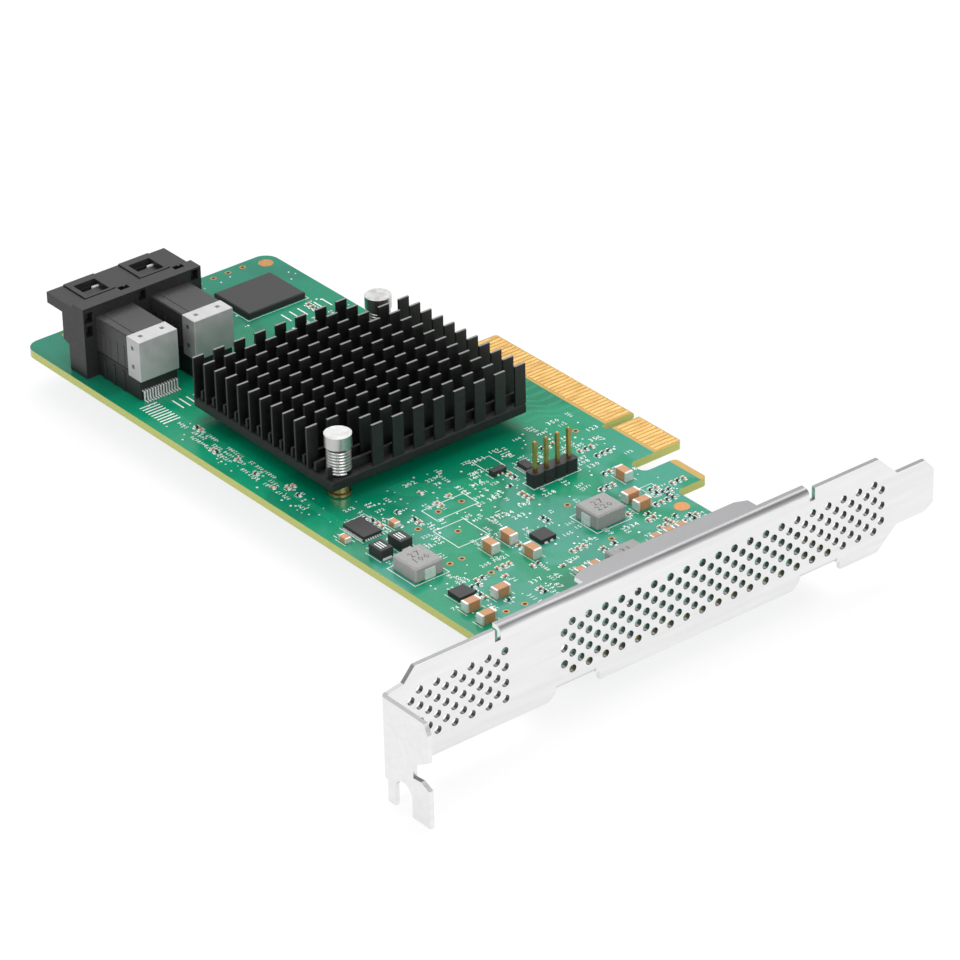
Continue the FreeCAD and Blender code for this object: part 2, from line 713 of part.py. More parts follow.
def heatsink():
    """Extruded fins, cross-cut into tabs, with low ribs between them and two cleared corners."""
    body = new_body("heatsink")
    right, far = f"({SINK_WIDTH} / 2)", "(sink_depth / 2)"
    base = sketch_on(body, "XY_Plane", "sink_base_outline")
    rectangle(base, f"-{right}", f"-{far}", right, far)
    pad(body, base, "sink_base")
    corners = edges_where(body, lambda m, a, n: upright(a) and m.x * m.y < 0)
    dress(body, "Fillet", corners, "ear_radius")

    fins = sketch_on(body, "XY_Plane", "fins", "sink_base")
    for i in range(round(number("fin_count"))):
        left = f"(-{right} + {i} * fin_pitch)"
        rectangle(fins, left, f"-{far}", f"{left} + fin_thickness", far)
    pad(body, fins, "fin_height")

    gap = "((sink_depth - tab_rows * fin_tab) / (tab_rows - 1))"
    cuts = sketch_on(body, "XY_Plane", "cross_cuts", "sink_base + fin_height")
    for i in range(round(number("tab_rows")) - 1):
        low = f"(-{far} + fin_tab + {i} * (fin_tab + {gap}))"
        rectangle(cuts, f"-{right} - 1", low, f"{right} + 1", f"{low} + {gap}")
    pocket(body, cuts, "fin_height")

    ribs = sketch_on(body, "XY_Plane", "low_ribs", "sink_base")
    for i in range(round(number("fin_count")) - 1):
        middle = f"(-{right} + fin_thickness / 2 + {i + 0.5} * fin_pitch)"
        rectangle(
            ribs,
            f"{middle} - rib_thickness / 2",
            f"-{far} + rib_inset",
            f"{middle} + rib_thickness / 2",
            f"{far} - rib_inset",
        )
    pad(body, ribs, "rib_height")

    clear = sketch_on(body, "XY_Plane", "cleared_corners", "sink_base + fin_height")
    wide = f"({right} - fin_thickness - 1.5 * fin_pitch)"
    deep = f"({far} - 2 * fin_tab - 1.5 * {gap})"
    rectangle(clear, wide, f"-{far} - 1", f"{right} + 1", f"-{deep}")
    rectangle(clear, f"-{right} - 1", deep, f"-{wide}", f"{far} + 1")
    pocket(body, clear, "fin_height")

    holes = sketch_on(body, "XY_Plane", "pin_holes", "sink_base")
    clearance = "pin_radius + pin_play"
    polygon_hole(holes, f"{right} - pin_inset_x", f"-{far} + pin_inset_y", clearance, DRILLED_SIDES)
    polygon_hole(holes, f"-{right} + pin_inset_x", f"{far} - pin_inset_y", clearance, DRILLED_SIDES)
    pocket(body, holes, "sink_base")
    place(body, "sink_x", "sink_y", SINK_BOTTOM)


def push_pin(number_of_pin):
    """A turned pin: head, shank through spring, base and board, and a barb under the board."""
    name = f"push_pin_{number_of_pin}"
    body = new_body(name)
    sketch = sketch_on(body, "XZ_Plane", f"{name}_section")
    under = "(-board_thickness)"
    outline(
        sketch,
        [
            ("0", f"{under} - barb_length"),
            ("pin_radius * 0.7", f"{under} - barb_length"),
            ("pin_radius * 0.7", f"{under} - barb_length * 0.6"),
            ("barb_radius", f"{under} - barb_length * 0.6"),
            ("barb_radius", under),
            ("pin_radius", under),
            ("pin_radius", "cap_top - cap_height"),
            ("cap_radius", "cap_top - cap_height"),
            ("cap_radius", "cap_top"),
            ("0", "cap_top"),
        ],
    )
    turn = body.newObject("PartDesign::Revolution", f"{name}_turn")
    turn.Profile = sketch
    turn.ReferenceAxis = (sketch, ["V_Axis"])
    turn.Angle = 360
    place(body, *PINS[number_of_pin])


def push_pin_spring(number_of_pin):
    """Compression spring between the heatsink base and the head of its pin."""
    name = f"push_pin_spring_{number_of_pin}"
    rest = f"({SINK_BOTTOM} + sink_base)"
    room = f"(cap_top - cap_height - {rest} - 2 * wire_radius)"
    spine = doc.addObject("Part::Helix", f"{name}_line")
    bind(spine, Radius="spring_radius", Height=room, Pitch=f"{room} / spring_turns")
    section = doc.addObject("Part::RegularPolygon", f"{name}_wire")
    section.Polygon = 4
    bind(section, Circumradius="wire_radius", Placement__Base__x="spring_radius")
    section.Placement.Rotation = FreeCAD.Rotation(FreeCAD.Vector(1, 0, 0), 90)
    sweep = doc.addObject("Part::Sweep", name)
    sweep.Label = name
    sweep.Sections = [section]
    sweep.Spine = (spine, ["Edge1"])
    sweep.Solid = True
    sweep.Frenet = True
    place(sweep, *PINS[number_of_pin], f"{rest} + wire_radius")
    NODES.append(sweep)


# ---------------------------------------------------------------- the two cable ports

HOUSING_FRONT = f"({LEFT} + port_inset)"
HOUSING_SIDE = f"({NEAR} + port_margin)"
HOUSING_REAR = f"({HOUSING_FRONT} + housing_depth)"


def port_middle(index):
    return f"(port_first + {index} * port_pitch)"


def port_housing():
    """One black moulding: a block with two sockets, a visor over the plugs and a leg each side."""
    body = new_body("port_housing")
    side = sketch_on(body, "XZ_Plane", "housing_section")
    top = "housing_height"
    outline(
        side,
        [
            ("visor_depth + 1.7", "0"),
            ("housing_depth", "0"),
            ("housing_depth", f"{top} + ridge_rise"),
            ("housing_depth - ridge_depth", f"{top} + ridge_rise"),
            ("housing_depth - ridge_depth - 0.8", top),
            ("0", top),
            ("0", f"{top} - visor_thickness"),
            ("visor_depth", f"{top} - visor_thickness"),
            ("visor_depth", "5.6"),
            ("visor_depth + 1.7", "5.2"),
        ],
    )
    pad(body, side, "housing_width", reverse=True)

    sockets = sketch_on(body, "YZ_Plane", "sockets", "housing_depth")
    for i in (0, 1):
        a, b = f"{port_middle(i)} - port_width / 2", f"{port_middle(i)} + port_width / 2"
        rectangle(sockets, a, "port_foot", b, "port_top")
    pocket(body, sockets, "housing_depth")

    arch = sketch_on(body, "YZ_Plane", "undercut", "housing_depth")
    rectangle(arch, "3.6", "-1", "housing_width - 3.0", "port_foot - 1.2")
    pocket(body, arch, "housing_depth")

    frames = sketch_on(body, "XY_Plane", "latch_frames", top)
    windows = sketch_on(body, "XY_Plane", "latch_windows", f"{top} + frame_rise")
    slots = sketch_on(body, "XY_Plane", "latch_slots", f"{top} - 0.8")
    nests = sketch_on(body, "XY_Plane", "latch_pockets", f"{top} + ridge_rise")
    for i in (0, 1):
        left = f"({port_middle(i)} - 5.45)"
        rectangle(frames, "0.15", left, "7.3", f"{left} + 6.7")
        rectangle(windows, "1.9", f"{left} + 1.0", "6.7", f"{left} + 5.7")
        rectangle(slots, "2.3", f"{left} + 1.5", "3.3", f"{left} + 4.9")
        rectangle(nests, "7.2", f"{left} + 6.1", "9.8", f"{left} + 8.2")
    pad(body, frames, "frame_rise")
    pocket(body, windows, "frame_rise + 0.8")
    pocket(body, slots, "visor_thickness")
    pocket(body, nests, "ridge_rise + 1.8")

    backs = sketch_on(body, "YZ_Plane", "rear_pockets", "housing_depth")
    for a, low, wide, high in REAR_POCKETS:
        rectangle(backs, a, low, f"{a} + {wide}", f"{low} + {high}")
    pocket(body, backs, "1.6")
    place(body, HOUSING_FRONT, HOUSING_SIDE)


REAR_POCKETS = [
    ("0.3", f"(housing_height - 2.2)", "1.7", "2.1"),
    ("0.4", f"(housing_height - 5.0)", "1.5", "2.1"),
    (f"({port_middle(0)} + port_width / 2 - 1.05)", "(housing_height - 1.6)", "1.6", "2.0"),
    (f"({port_middle(1)} + port_width / 2 - 1.6)", "(housing_height - 1.5)", "1.6", "2.0"),
]


def port_body(index):
    """Contact module of one port: it fills the rear of its socket and stands on the board."""
    name = f"port_body_{index + 1}"
    body = new_body(name)
    half = "(port_width / 2)"
    block = sketch_on(body, "YZ_Plane", f"{name}_block")
    rectangle(block, f"-{half}", "port_foot", half, "port_top")
    pad(body, block, "port_seat + port_tail")
    foot = sketch_on(body, "YZ_Plane", f"{name}_foot", "port_seat + 0.1")
    rectangle(foot, f"-{half} + 0.3", "0", f"{half} - 0.3", "port_foot")
    pad(body, foot, "port_tail - 0.5")

    seam = sketch_on(body, "XZ_Plane", f"{name}_seam", half)
    line = "(port_foot + 0.45 * (port_top - port_foot))"
    rectangle(seam, "port_seat + 0.5", f"{line} - 0.15", "port_seat + port_tail - shield_depth - 0.5", f"{line} + 0.15")
    pocket(body, seam, "0.25")

    slots = sketch_on(body, "YZ_Plane", f"{name}_slots")
    for level in (0.27, 0.73):
        z = f"(port_foot + {level} * (port_top - port_foot))"
        rectangle(slots, f"-{half} + 0.7", f"{z} - 0.65", f"{half} - 0.7", f"{z} + 0.65")
    pocket(body, slots, "contact_slot", reverse=True)

    step = sketch_on(body, "YZ_Plane", f"{name}_step", "port_seat + port_tail")
    inner = f"({half} - shield_sheet)"
    outline(
        step,
        [
            (f"-{half} - 1", "port_foot - 0.01"),
            (f"-{inner}", "port_foot - 0.01"),
            (f"-{inner}", "port_top - shield_sheet"),
            (inner, "port_top - shield_sheet"),
            (inner, "port_foot - 0.01"),
            (f"{half} + 1", "port_foot - 0.01"),
            (f"{half} + 1", "port_top + 1"),
            (f"-{half} - 1", "port_top + 1"),
        ],
    )
    pocket(body, step, "shield_depth")
    place(
        body,
        f"{HOUSING_REAR} - port_seat",
        f"{HOUSING_SIDE} + {port_middle(index)}",
    )


def port_shield(index):
    """Bright folded cover on the rear of a port body: back, top and two sides, with dimples."""
    name = f"port_shield_{index + 1}"
    body = new_body(name)
    half = "(port_width / 2)"
    shell = sketch_on(body, "YZ_Plane", f"{name}_shell")
    rectangle(shell, f"-{half}", "port_foot", half, "port_top")
    pad(body, shell, "shield_depth + shield_sheet")
    hollow = sketch_on(body, "YZ_Plane", f"{name}_hollow")
    inner = f"({half} - shield_sheet)"
    rectangle(hollow, f"-{inner}", "port_foot - 1", inner, "port_top - shield_sheet")
    pocket(body, hollow, "shield_depth", reverse=True)
    outer = number("shield_depth + shield_sheet")
    z_top = number("port_top")
    rounds = edges_where(
        body,
        lambda m, a, n: near(m.x, outer) and (near(m.z, z_top) or upright(a)) and n > 1,
    )
    dress(body, "Fillet", rounds, "shield_sheet * 1.5")
    place(
        body,
        f"{HOUSING_REAR} + port_tail - shield_depth",
        f"{HOUSING_SIDE} + {port_middle(index)}",
    )


def port_tails(index):
    """Solder tails of one port: a comb of bent strips from the body down to the board."""
    name = f"port_tails_{index + 1}"
    body = new_body(name)
    span = "((tail_count - 1) * tail_pitch)"
    tail = sketch_on(body, "XZ_Plane", f"{name}_section", f"{span} / 2 + tail_width / 2")
    outline(
        tail,
        [
            ("-0.4", "port_foot - 0.3"),
            ("0.75", "port_foot - 0.3"),
            ("1.05", "0.22"),
            ("2.0", "0.22"),
            ("2.0", "0"),
            ("0.8", "0"),
            ("0.5", "port_foot - 0.55"),
            ("-0.4", "port_foot - 0.55"),
        ],
    )
    first = pad(body, tail, "tail_width", reverse=True)
    row_of(body, first, "Y_Axis", span, "tail_count")
    place(
        body,
        f"{HOUSING_REAR} + port_tail",
        f"{HOUSING_SIDE} + {port_middle(index)}",
    )


# ---------------------------------------------------------------- flash, header and small parts

def box_part(name, x, y, length, width, height, lift="0"):
    """A plain package: length along X, width along Y."""
    box = doc.addObject("Part::Box", name)
    bind(box, Length=length, Width=width, Height=height)
    place(box, f"{x} - ({length}) / 2", f"{y} - ({width}) / 2", lift)
    return box


def group(name, members):
    """Identical small parts kept as one node of separate solids."""
    compound = doc.addObject("Part::Compound", name)
    compound.Label = name
    compound.Links = members
    NODES.append(compound)
    return compound


def flash_chip():
    """Memory package with bevelled upper edges."""
    body = new_body("flash_chip")
    sketch = sketch_on(body, "XY_Plane", "flash_outline")
    rectangle(sketch, "-flash_width / 2", "-flash_length / 2", "flash_width / 2", "flash_length / 2")
    pad(body, sketch, "flash_height")
    top = number("flash_height")
    rim = edges_where(body, lambda m, a, n: near(m.z, top))
    dress(body, "Chamfer", rim, "0.2")
    place(body, "flash_x", "flash_y")


def header_block():
    """Insulator of the pin header: four bevelled cubes in a row, drilled for the pins."""
    body = new_body("header_block")
    start = "(-(header_pins - 1) * header_pitch / 2)"
    cube = sketch_on(body, "XY_Plane", "header_cube")
    half, bevel = "(header_pitch / 2)", "0.35"
    outline(
        cube,
        [
            (f"-{half} + {bevel}", f"{start} - {half}"),
            (f"{half} - {bevel}", f"{start} - {half}"),
            (half, f"{start} - {half} + {bevel}"),
            (half, f"{start} + {half} - {bevel}"),
            (f"{half} - {bevel}", f"{start} + {half}"),
            (f"-{half} + {bevel}", f"{start} + {half}"),
            (f"-{half}", f"{start} + {half} - {bevel}"),
            (f"-{half}", f"{start} - {half} + {bevel}"),
        ],
    )
    row_of(body, pad(body, cube, "header_pitch"), "Y_Axis", "(header_pins - 1) * header_pitch", "header_pins")
    hole = sketch_on(body, "XY_Plane", "header_pin_hole", "header_pitch")
    side = "(header_side / 2)"
    rectangle(hole, f"-{side}", f"{start} - {side}", side, f"{start} + {side}")
    cut = pocket(body, hole, "header_pitch")
    row_of(body, cut, "Y_Axis", "(header_pins - 1) * header_pitch", "header_pins")
    place(body, "header_x", "header_y")


def header_pins():
    """Square pins with pointed ends, through the block and the board."""
    body = new_body("header_pins")
    start = "(-(header_pins - 1) * header_pitch / 2)"
    side = "(header_side / 2)"
    low = "(-board_thickness - header_pin_tail)"
    sketch = sketch_on(body, "XY_Plane", "header_pin", low)
    rectangle(sketch, f"-{side}", f"{start} - {side}", side, f"{start} + {side}")
    first = pad(body, sketch, "header_pin_top + board_thickness + header_pin_tail")
    doc.recompute()
    top, bottom = number("header_pin_top"), number(low)
    ends = edges_where(body, lambda m, a, n: near(m.z, top) or near(m.z, bottom))
    points = dress(body, "Chamfer", ends, "0.18")
    pattern = body.newObject("PartDesign::LinearPattern", "header_pin_row")
    pattern.Originals = [first, points]
    pattern.Direction = (axis_of(body, "Y_Axis"), [""])
    bind(pattern, Length="(header_pins - 1) * header_pitch", Occurrences="header_pins")
    body.Tip = pattern
    place(body, "header_x", "header_y")


def inductor(index, x, y, turned):
    """Pressed inductor with a terminal folded up each end; turned puts the ends across the card."""
    name = f"inductor_{index}"
    body = new_body(name)
    length, width = ("coil_width", "coil_side") if turned else ("coil_side", "coil_width")
    sketch = sketch_on(body, "XY_Plane", f"{name}_outline", "0.1")
    rectangle(sketch, f"-{length} / 2", f"-{width} / 2", f"{length} / 2", f"{width} / 2")
    pad(body, sketch, "coil_height - 0.1")
    doc.recompute()
    top = number("coil_height")
    edges = edges_where(body, lambda m, a, n: near(m.z, top) or upright(a))
    dress(body, "Chamfer", edges, "0.3")
    place(body, x, y)
    ends = []
    for sign in ("-", ""):
        for part, (across, tall) in {"wall": ("terminal_sheet", "coil_height * 0.7"), "sole": ("1.3", "0.1")}.items():
            outwards = across if part == "wall" else "1.3"
            depth = f"({outwards})"
            centre = f"{sign}({('coil_side')} / 2 + {depth} / 2)"
            if part == "sole":
                centre = f"{sign}(coil_side / 2 + terminal_sheet - {depth} / 2)"
            if turned:
                piece = box_part(f"{name}_{part}", x, f"{y} + ({centre})", "coil_terminal", depth, tall)
            else:
                piece = box_part(f"{name}_{part}", f"{x} + ({centre})", y, depth, "coil_terminal", tall)
            ends.append(piece)
    return ends


def board_components():
    """Everything soldered round the power stages, placed from the connector's two datums."""
    ends = []
    for index, (x, y, turned) in enumerate(INDUCTORS, start=1):
        ends += inductor(index, x, y, turned)
    joined = []
    for wall, sole in zip(ends[0::2], ends[1::2]):
        strap = doc.addObject("Part::MultiFuse", "inductor_strap")
        strap.Shapes = [wall, sole]
        joined.append(strap)
    group("inductor_terminals", joined)

    regulator = box_part("power_controller", "0.42", "-62.5", "controller_length", "controller_width", "flat_height")
    regulator.Label = "power_controller"
    NODES.append(regulator)
    stages = [
        box_part("power_stage", x, y, "stage_side", "stage_side", "flat_height") for x, y in POWER_STAGES
    ]
    group("power_stages", stages)
    logic = box_part("logic_chip", "2.3", "-27.6", "3.0", "1.7", "1.1")
    logic.Label = "logic_chip"
    NODES.append(logic)
    transistor = box_part("transistor", "0.14", "-32.3", "1.4", "2.9", "1.0")
    transistor.Label = "transistor"
    NODES.append(transistor)

    blacks = [
        box_part("moulded", x, y, "black_length", "black_width", "black_height") for x, y in MOULDED_CAPACITORS
    ]
    group("moulded_capacitors", blacks)
    large = []
    for x, y, turned in LARGE_CERAMICS:
        length, width = ("ceramic_width", "ceramic_length") if turned else ("ceramic_length", "ceramic_width")
        large.append(box_part("ceramic", x, y, length, width, "ceramic_height"))
    group("large_ceramic_capacitors", large)
    small = []
    for x, y, turned in SMALL_CERAMICS:
        length, width = ("small_width", "small_length") if turned else ("small_length", "small_width")
        small.append(box_part("small_ceramic", x, y, length, width, "small_height"))
    group("small_ceramic_capacitors", small)


# x from the notch, y from the connector edge, and whether the part lies across the card
INDUCTORS = [("16.8", "-63.2", False), ("23.7", "-28.5", True), ("39.0", "-34.9", True)]
POWER_STAGES = [("28.0", "-62.7"), ("22.4", "-40.4")]
MOULDED_CAPACITORS = [("8.6", "-64.8"), ("8.3", "-60.4")]
LARGE_CERAMICS = [
    ("32.4", "-64.1", True),
    ("37.1", "-64.6", True),
    ("32.2", "-57.6", True),
    ("19.7", "-49.7", False),
    ("19.2", "-45.3", False),
    ("25.6", "-45.3", False),
    ("15.8", "-16.6", False),
    ("22.4", "-20.6", True),
    ("25.7", "-20.8", True),
]
SMALL_CERAMICS = [
    ("2.4", "-57.1", False),
    ("1.0", "-66.7", False),
    ("35.3", "-20.3", True),
    ("35.3", "-23.0", True),
    ("35.3", "-26.0", True),
    ("35.4", "-39.8", True),
    ("35.4", "-42.9", True),
]


# ---------------------------------------------------------------- build, check and write

circuit_board()
edge_contacts("edge_contacts_top", "board_thickness / 2", False)
edge_contacts("edge_contacts_bottom", "-board_thickness / 2", True)
bracket()
bracket_screws()
controller_chip()
thermal_pad()
heatsink()
for which in PINS:
    push_pin(which)
    push_pin_spring(which)
port_housing()
for port in (0, 1):
    port_body(port)
    port_shield(port)
    port_tails(port)
flash_chip()
header_block()
header_pins()
board_components()
doc.recompute()

for thing in doc.Objects:
    if "Invalid" in thing.State or "Error" in thing.State:
        raise ValueError(f"{thing.Name} did not build: {thing.State}")
os.makedirs("parts", exist_ok=True)
for node in NODES:
    shape = node.Shape
    if shape.isNull() or not shape.isValid() or not shape.Solids:
        raise ValueError(f"{node.Label} has no sound solid")
    shape.exportStep(os.path.join("parts", f"{node.Label}.step"))
    print(f"{node.Label}: {len(shape.Solids)} solids, {shape.Volume:.1f} mm3")
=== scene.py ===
# %% [markdown]
# # A storage controller card
# The card is a green circuit board with an edge connector, a finned heatsink on two sprung pins,
# two cable ports at one end and a vented steel bracket at the other.  The rigid parts come from
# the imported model, the frame.  This script gives them finishes, and adds what is too small for
# solids: copper, printing, solder and the smallest components.

# %% Load the frame
import math
import random

import bmesh
import bpy
from mathutils import Matrix, Vector
from mathutils.bvhtree import BVHTree


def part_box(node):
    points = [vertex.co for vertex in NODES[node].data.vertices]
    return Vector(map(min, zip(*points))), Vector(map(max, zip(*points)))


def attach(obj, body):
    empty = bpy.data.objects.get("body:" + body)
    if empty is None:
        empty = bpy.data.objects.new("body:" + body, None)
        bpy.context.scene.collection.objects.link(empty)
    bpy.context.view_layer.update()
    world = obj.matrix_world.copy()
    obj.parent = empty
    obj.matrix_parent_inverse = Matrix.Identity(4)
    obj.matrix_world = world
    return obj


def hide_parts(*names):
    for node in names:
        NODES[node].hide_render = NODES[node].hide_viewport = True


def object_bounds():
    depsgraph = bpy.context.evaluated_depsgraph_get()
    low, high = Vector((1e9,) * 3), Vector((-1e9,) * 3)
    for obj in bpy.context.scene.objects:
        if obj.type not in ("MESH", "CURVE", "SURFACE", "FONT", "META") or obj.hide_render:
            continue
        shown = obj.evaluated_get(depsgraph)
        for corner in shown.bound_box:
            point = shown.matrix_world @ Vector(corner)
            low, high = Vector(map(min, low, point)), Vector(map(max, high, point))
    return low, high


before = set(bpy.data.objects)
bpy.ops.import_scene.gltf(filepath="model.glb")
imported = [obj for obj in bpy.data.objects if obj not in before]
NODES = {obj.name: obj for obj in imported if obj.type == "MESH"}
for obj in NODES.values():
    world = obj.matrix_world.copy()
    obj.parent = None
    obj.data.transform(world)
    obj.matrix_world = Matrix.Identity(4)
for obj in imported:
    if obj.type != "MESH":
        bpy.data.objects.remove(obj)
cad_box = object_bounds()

MM = 0.001


def add_object(name, data):
    """A new object in the scene, at the origin."""
    made = bpy.data.objects.new(name, data)
    bpy.context.scene.collection.objects.link(made)
    return made


print(len(NODES), "nodes; the model is",
      [round((high - low) / MM, 1) for low, high in zip(*cad_box)], "mm")


# %% [markdown]
# ## Places
# Parts are found by their nodes' boxes.  The board's box gives the copper side (its top) and one
# of the two datums of the layout, the connector edge, where Y is greatest; the other is the
# keying notch at X = 0.

# %% Datums
def corners_of(node_name):
    """The lowest and highest corners of a node's box."""
    low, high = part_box(node_name)
    return Vector(low), Vector(high)


board_low, board_high = corners_of("circuit_board")
TOP = board_high.z
EDGE_Y = board_high.y
print("board top at", round(TOP / MM, 3), "mm; long edge", round(board_low.y / MM, 2))


def middle_of(node_name):
    """The middle of a node's box."""
    low, high = corners_of(node_name)
    return (low + high) / 2


def on_board(x, y, lift=0.0):
    """A point above the board; x from the notch and y from the connector edge, in millimetres."""
    return Vector((x * MM, EDGE_Y + y * MM, TOP + lift * MM))


# %% [markdown]
# ## Camera
# A long lens keeps the card's edges almost parallel.  The camera is placed by heading and height
# round a point on the board, then rolled a little: easier to think about than three angles.

# %% Camera
CAMERA_HEADING = -38.18
CAMERA_HEIGHT = 30.20
CAMERA_ROLL = -1.33
CAMERA_DISTANCE = 865.5 * MM
LENS = 185.1
AIM_OFFSET = Vector((-1.08, -0.88, 0)) * MM
aim = Vector((0, (board_low.y + board_high.y) / 2, 0)) + AIM_OFFSET


def towards(heading, height):
    """Unit vector at a heading from +X and a height above the horizon, in degrees."""
    a, b = math.radians(heading), math.radians(height)
    return Vector((math.cos(b) * math.cos(a), math.cos(b) * math.sin(a), math.sin(b)))


def looking_at_aim(direction, distance):
    """The place and turn of a camera or lamp that looks at the aim from a direction."""
    turn = direction.to_track_quat("Z", "Y").to_matrix().to_4x4()
    return Matrix.Translation(aim + direction * distance) @ turn


camera = add_object("camera", bpy.data.cameras.new("camera"))
camera.data.lens = LENS
camera.data.sensor_width = 36.0
camera.data.clip_end = 10.0
roll = Matrix.Rotation(math.radians(CAMERA_ROLL), 4, "Z")
camera.matrix_world = looking_at_aim(towards(CAMERA_HEADING, CAMERA_HEIGHT), CAMERA_DISTANCE) @ roll
bpy.context.scene.camera = camera
print("camera at", [round(v / MM, 1) for v in camera.matrix_world.translation])


# %% [markdown]
# ## Light
# Metal shows what is round it, so the card stands between large soft panels: one above and
# behind gives the board its sheen, one lights the bracket's face, a dimmer one the near sides.

# %% Soft light
def panel(name, heading, height, distance, size, watts):
    """A square area lamp that faces the middle of the card."""
    lamp = bpy.data.lights.new(name, "AREA")
    lamp.shape = "SQUARE"
    lamp.size = size
    lamp.energy = watts
    add_object(name, lamp).matrix_world = looking_at_aim(towards(heading, height), distance)


panel("panel_above", 140, 62, 0.9, 0.9, 8.0)
panel("panel_bracket", -8, 24, 0.9, 0.6, 5.0)
panel("panel_near", -80, 35, 0.9, 0.5, 2.0)
bpy.context.scene.view_settings.view_transform = "Standard"


# %% [markdown]
# ## Finishes
# All finishes share one small kit.  A finish starts as a Principled shader, and gets grain: noise
# that shifts its colour, its roughness and a fine bump.  The noise reads Object coordinates,
# which are metres here, so a scale of 1000 makes grains about a millimetre wide.

# %% Finish helpers
def shader_of(finish):
    return finish.node_tree.nodes["Principled BSDF"]


def new_finish(name, metallic=0.0):
    """A material with a Principled shader."""
    finish = bpy.data.materials.new(name)
    finish.use_nodes = True
    shader_of(finish).inputs["Metallic"].default_value = metallic
    return finish


def node(finish, kind, **settings):
    """A new node, in a finish or a bare tree, with its settings and input values by name."""
    made = getattr(finish, "node_tree", finish).nodes.new(kind)
    for key, value in settings.items():
        if hasattr(made, key):
            setattr(made, key, value)
        else:
            made.inputs[key.replace("_", " ")].default_value = value
    return made


def link(finish, source, target):
    finish.node_tree.links.new(source, target)


def reckon(finish, operation, first, second=0.0):
    """The result of a sum on two values, each a socket or a number."""
    made = node(finish, "ShaderNodeMath", operation=operation)
    for socket, value in zip(made.inputs, (first, second)):
        if isinstance(value, float):
            socket.default_value = value
        else:
            link(finish, value, socket)
    return made.outputs[0]


def object_place(finish, stretch=(1, 1, 1)):
    """Object coordinates, stretched along the axes for brushed or drawn surfaces."""
    coordinates = node(finish, "ShaderNodeTexCoord")
    mapping = node(finish, "ShaderNodeMapping", Scale=stretch)
    link(finish, coordinates.outputs["Object"], mapping.inputs["Vector"])
    return mapping.outputs["Vector"]


def noise(finish, place, scale, detail=3.0):
    made = node(finish, "ShaderNodeTexNoise", Scale=scale, Detail=detail)
    link(finish, place, made.inputs["Vector"])
    return made.outputs["Fac"]


def span(finish, value, low, high, from_low=0.3, from_high=0.7):
    """Map a value to a range."""
    made = node(finish, "ShaderNodeMapRange", From_Min=from_low, From_Max=from_high,
                To_Min=low, To_Max=high)
    link(finish, value, made.inputs["Value"])
    return made.outputs["Result"]


def blend(finish, factor, first, second):
    """Mix two colours; each is a colour, a number for a grey, or a socket."""
    made = node(finish, "ShaderNodeMix", data_type="RGBA")
    link(finish, factor, made.inputs["Factor"])
    colours = [s for s in made.inputs if s.type == "RGBA"]
    for socket, value in zip(colours, (first, second)):
        if isinstance(value, float):
            value = (value, value, value)
        if isinstance(value, tuple):
            socket.default_value = (*value, 1)
        else:
            link(finish, value, socket)
    return [s for s in made.outputs if s.type == "RGBA"][0]


def relief(finish, height, strength, depth):
    """A bump, with its depth in millimetres."""
    made = node(finish, "ShaderNodeBump", Strength=strength, Distance=depth * MM)
    link(finish, height, made.inputs["Height"])
    link(finish, made.outputs["Normal"], shader_of(finish).inputs["Normal"])


def grain(name, first, second, scale, roughness, bump, metallic=0.0, stretch=(1, 1, 1)):
    """A new finish of two close colours, with an uneven gloss and a fine bump."""
    finish = new_finish(name, metallic)
    inputs = shader_of(finish).inputs
    value = noise(finish, object_place(finish, stretch), scale)
    link(finish, blend(finish, span(finish, value, 0, 1), first, second), inputs["Base Color"])
    link(finish, span(finish, value, *roughness), inputs["Roughness"])
    relief(finish, value, bump, 0.05)
    return finish


def along_axis(finish, kind, axis):
    """One coordinate of the Object place, or of the Normal."""
    source = node(finish, "ShaderNodeTexCoord")
    split = node(finish, "ShaderNodeSeparateXYZ")
    link(finish, source.outputs[kind], split.inputs["Vector"])
    return split.outputs[axis]


def facing(finish, axis, low, high, from_low, from_high):
    """A value by how squarely the surface faces along an axis, either way."""
    size = reckon(finish, "ABSOLUTE", along_axis(finish, "Normal", axis))
    return span(finish, size, low, high, from_low, from_high)


def recolour(finish, factor, colour):
    """Lay a colour over the one that a finish has."""
    base = shader_of(finish).inputs["Base Color"]
    link(finish, blend(finish, factor, base.links[0].from_socket, colour), base)


def paint(node_names, finish):
    """Put a finish on CAD nodes."""
    for name in node_names:
        for material_slot in NODES[name].material_slots:
            material_slot.material = finish


# %% [markdown]
# ### The studio
# The same kit shades the studio.  The world is white to the camera and grey to everything else.
# The floor is seen as white, but keeps a share of its own shading, and with it the shadow.

# %% World and floor
WORLD_LEVEL = 0.42
FLOOR_REACH, FLOOR_GAP, FLOOR_WHITENESS = 3.0, 0.05 * MM, 0.82
world = bpy.data.worlds.new("studio")
world.use_nodes = True
bpy.context.scene.world = world
background = world.node_tree.nodes["Background"]
background.inputs["Color"].default_value = (1, 1, 1, 1)
to_camera = node(world, "ShaderNodeLightPath").outputs["Is Camera Ray"]
link(world, span(world, to_camera, WORLD_LEVEL, 1.0, 0, 1), background.inputs["Strength"])
paper = new_finish("floor_paper")
shader_of(paper).inputs["Base Color"].default_value = (0.9, 0.9, 0.9, 1)
shader_of(paper).inputs["Roughness"].default_value = 0.9
path = node(paper, "ShaderNodeLightPath")
seen = reckon(paper, "MAXIMUM", path.outputs["Is Camera Ray"], path.outputs["Is Glossy Ray"])
whitened = node(paper, "ShaderNodeMixShader")
link(paper, reckon(paper, "MULTIPLY", seen, FLOOR_WHITENESS), whitened.inputs[0])
link(paper, shader_of(paper).outputs[0], whitened.inputs[1])
link(paper, node(paper, "ShaderNodeEmission", Color=(1, 1, 1, 1)).outputs[0], whitened.inputs[2])
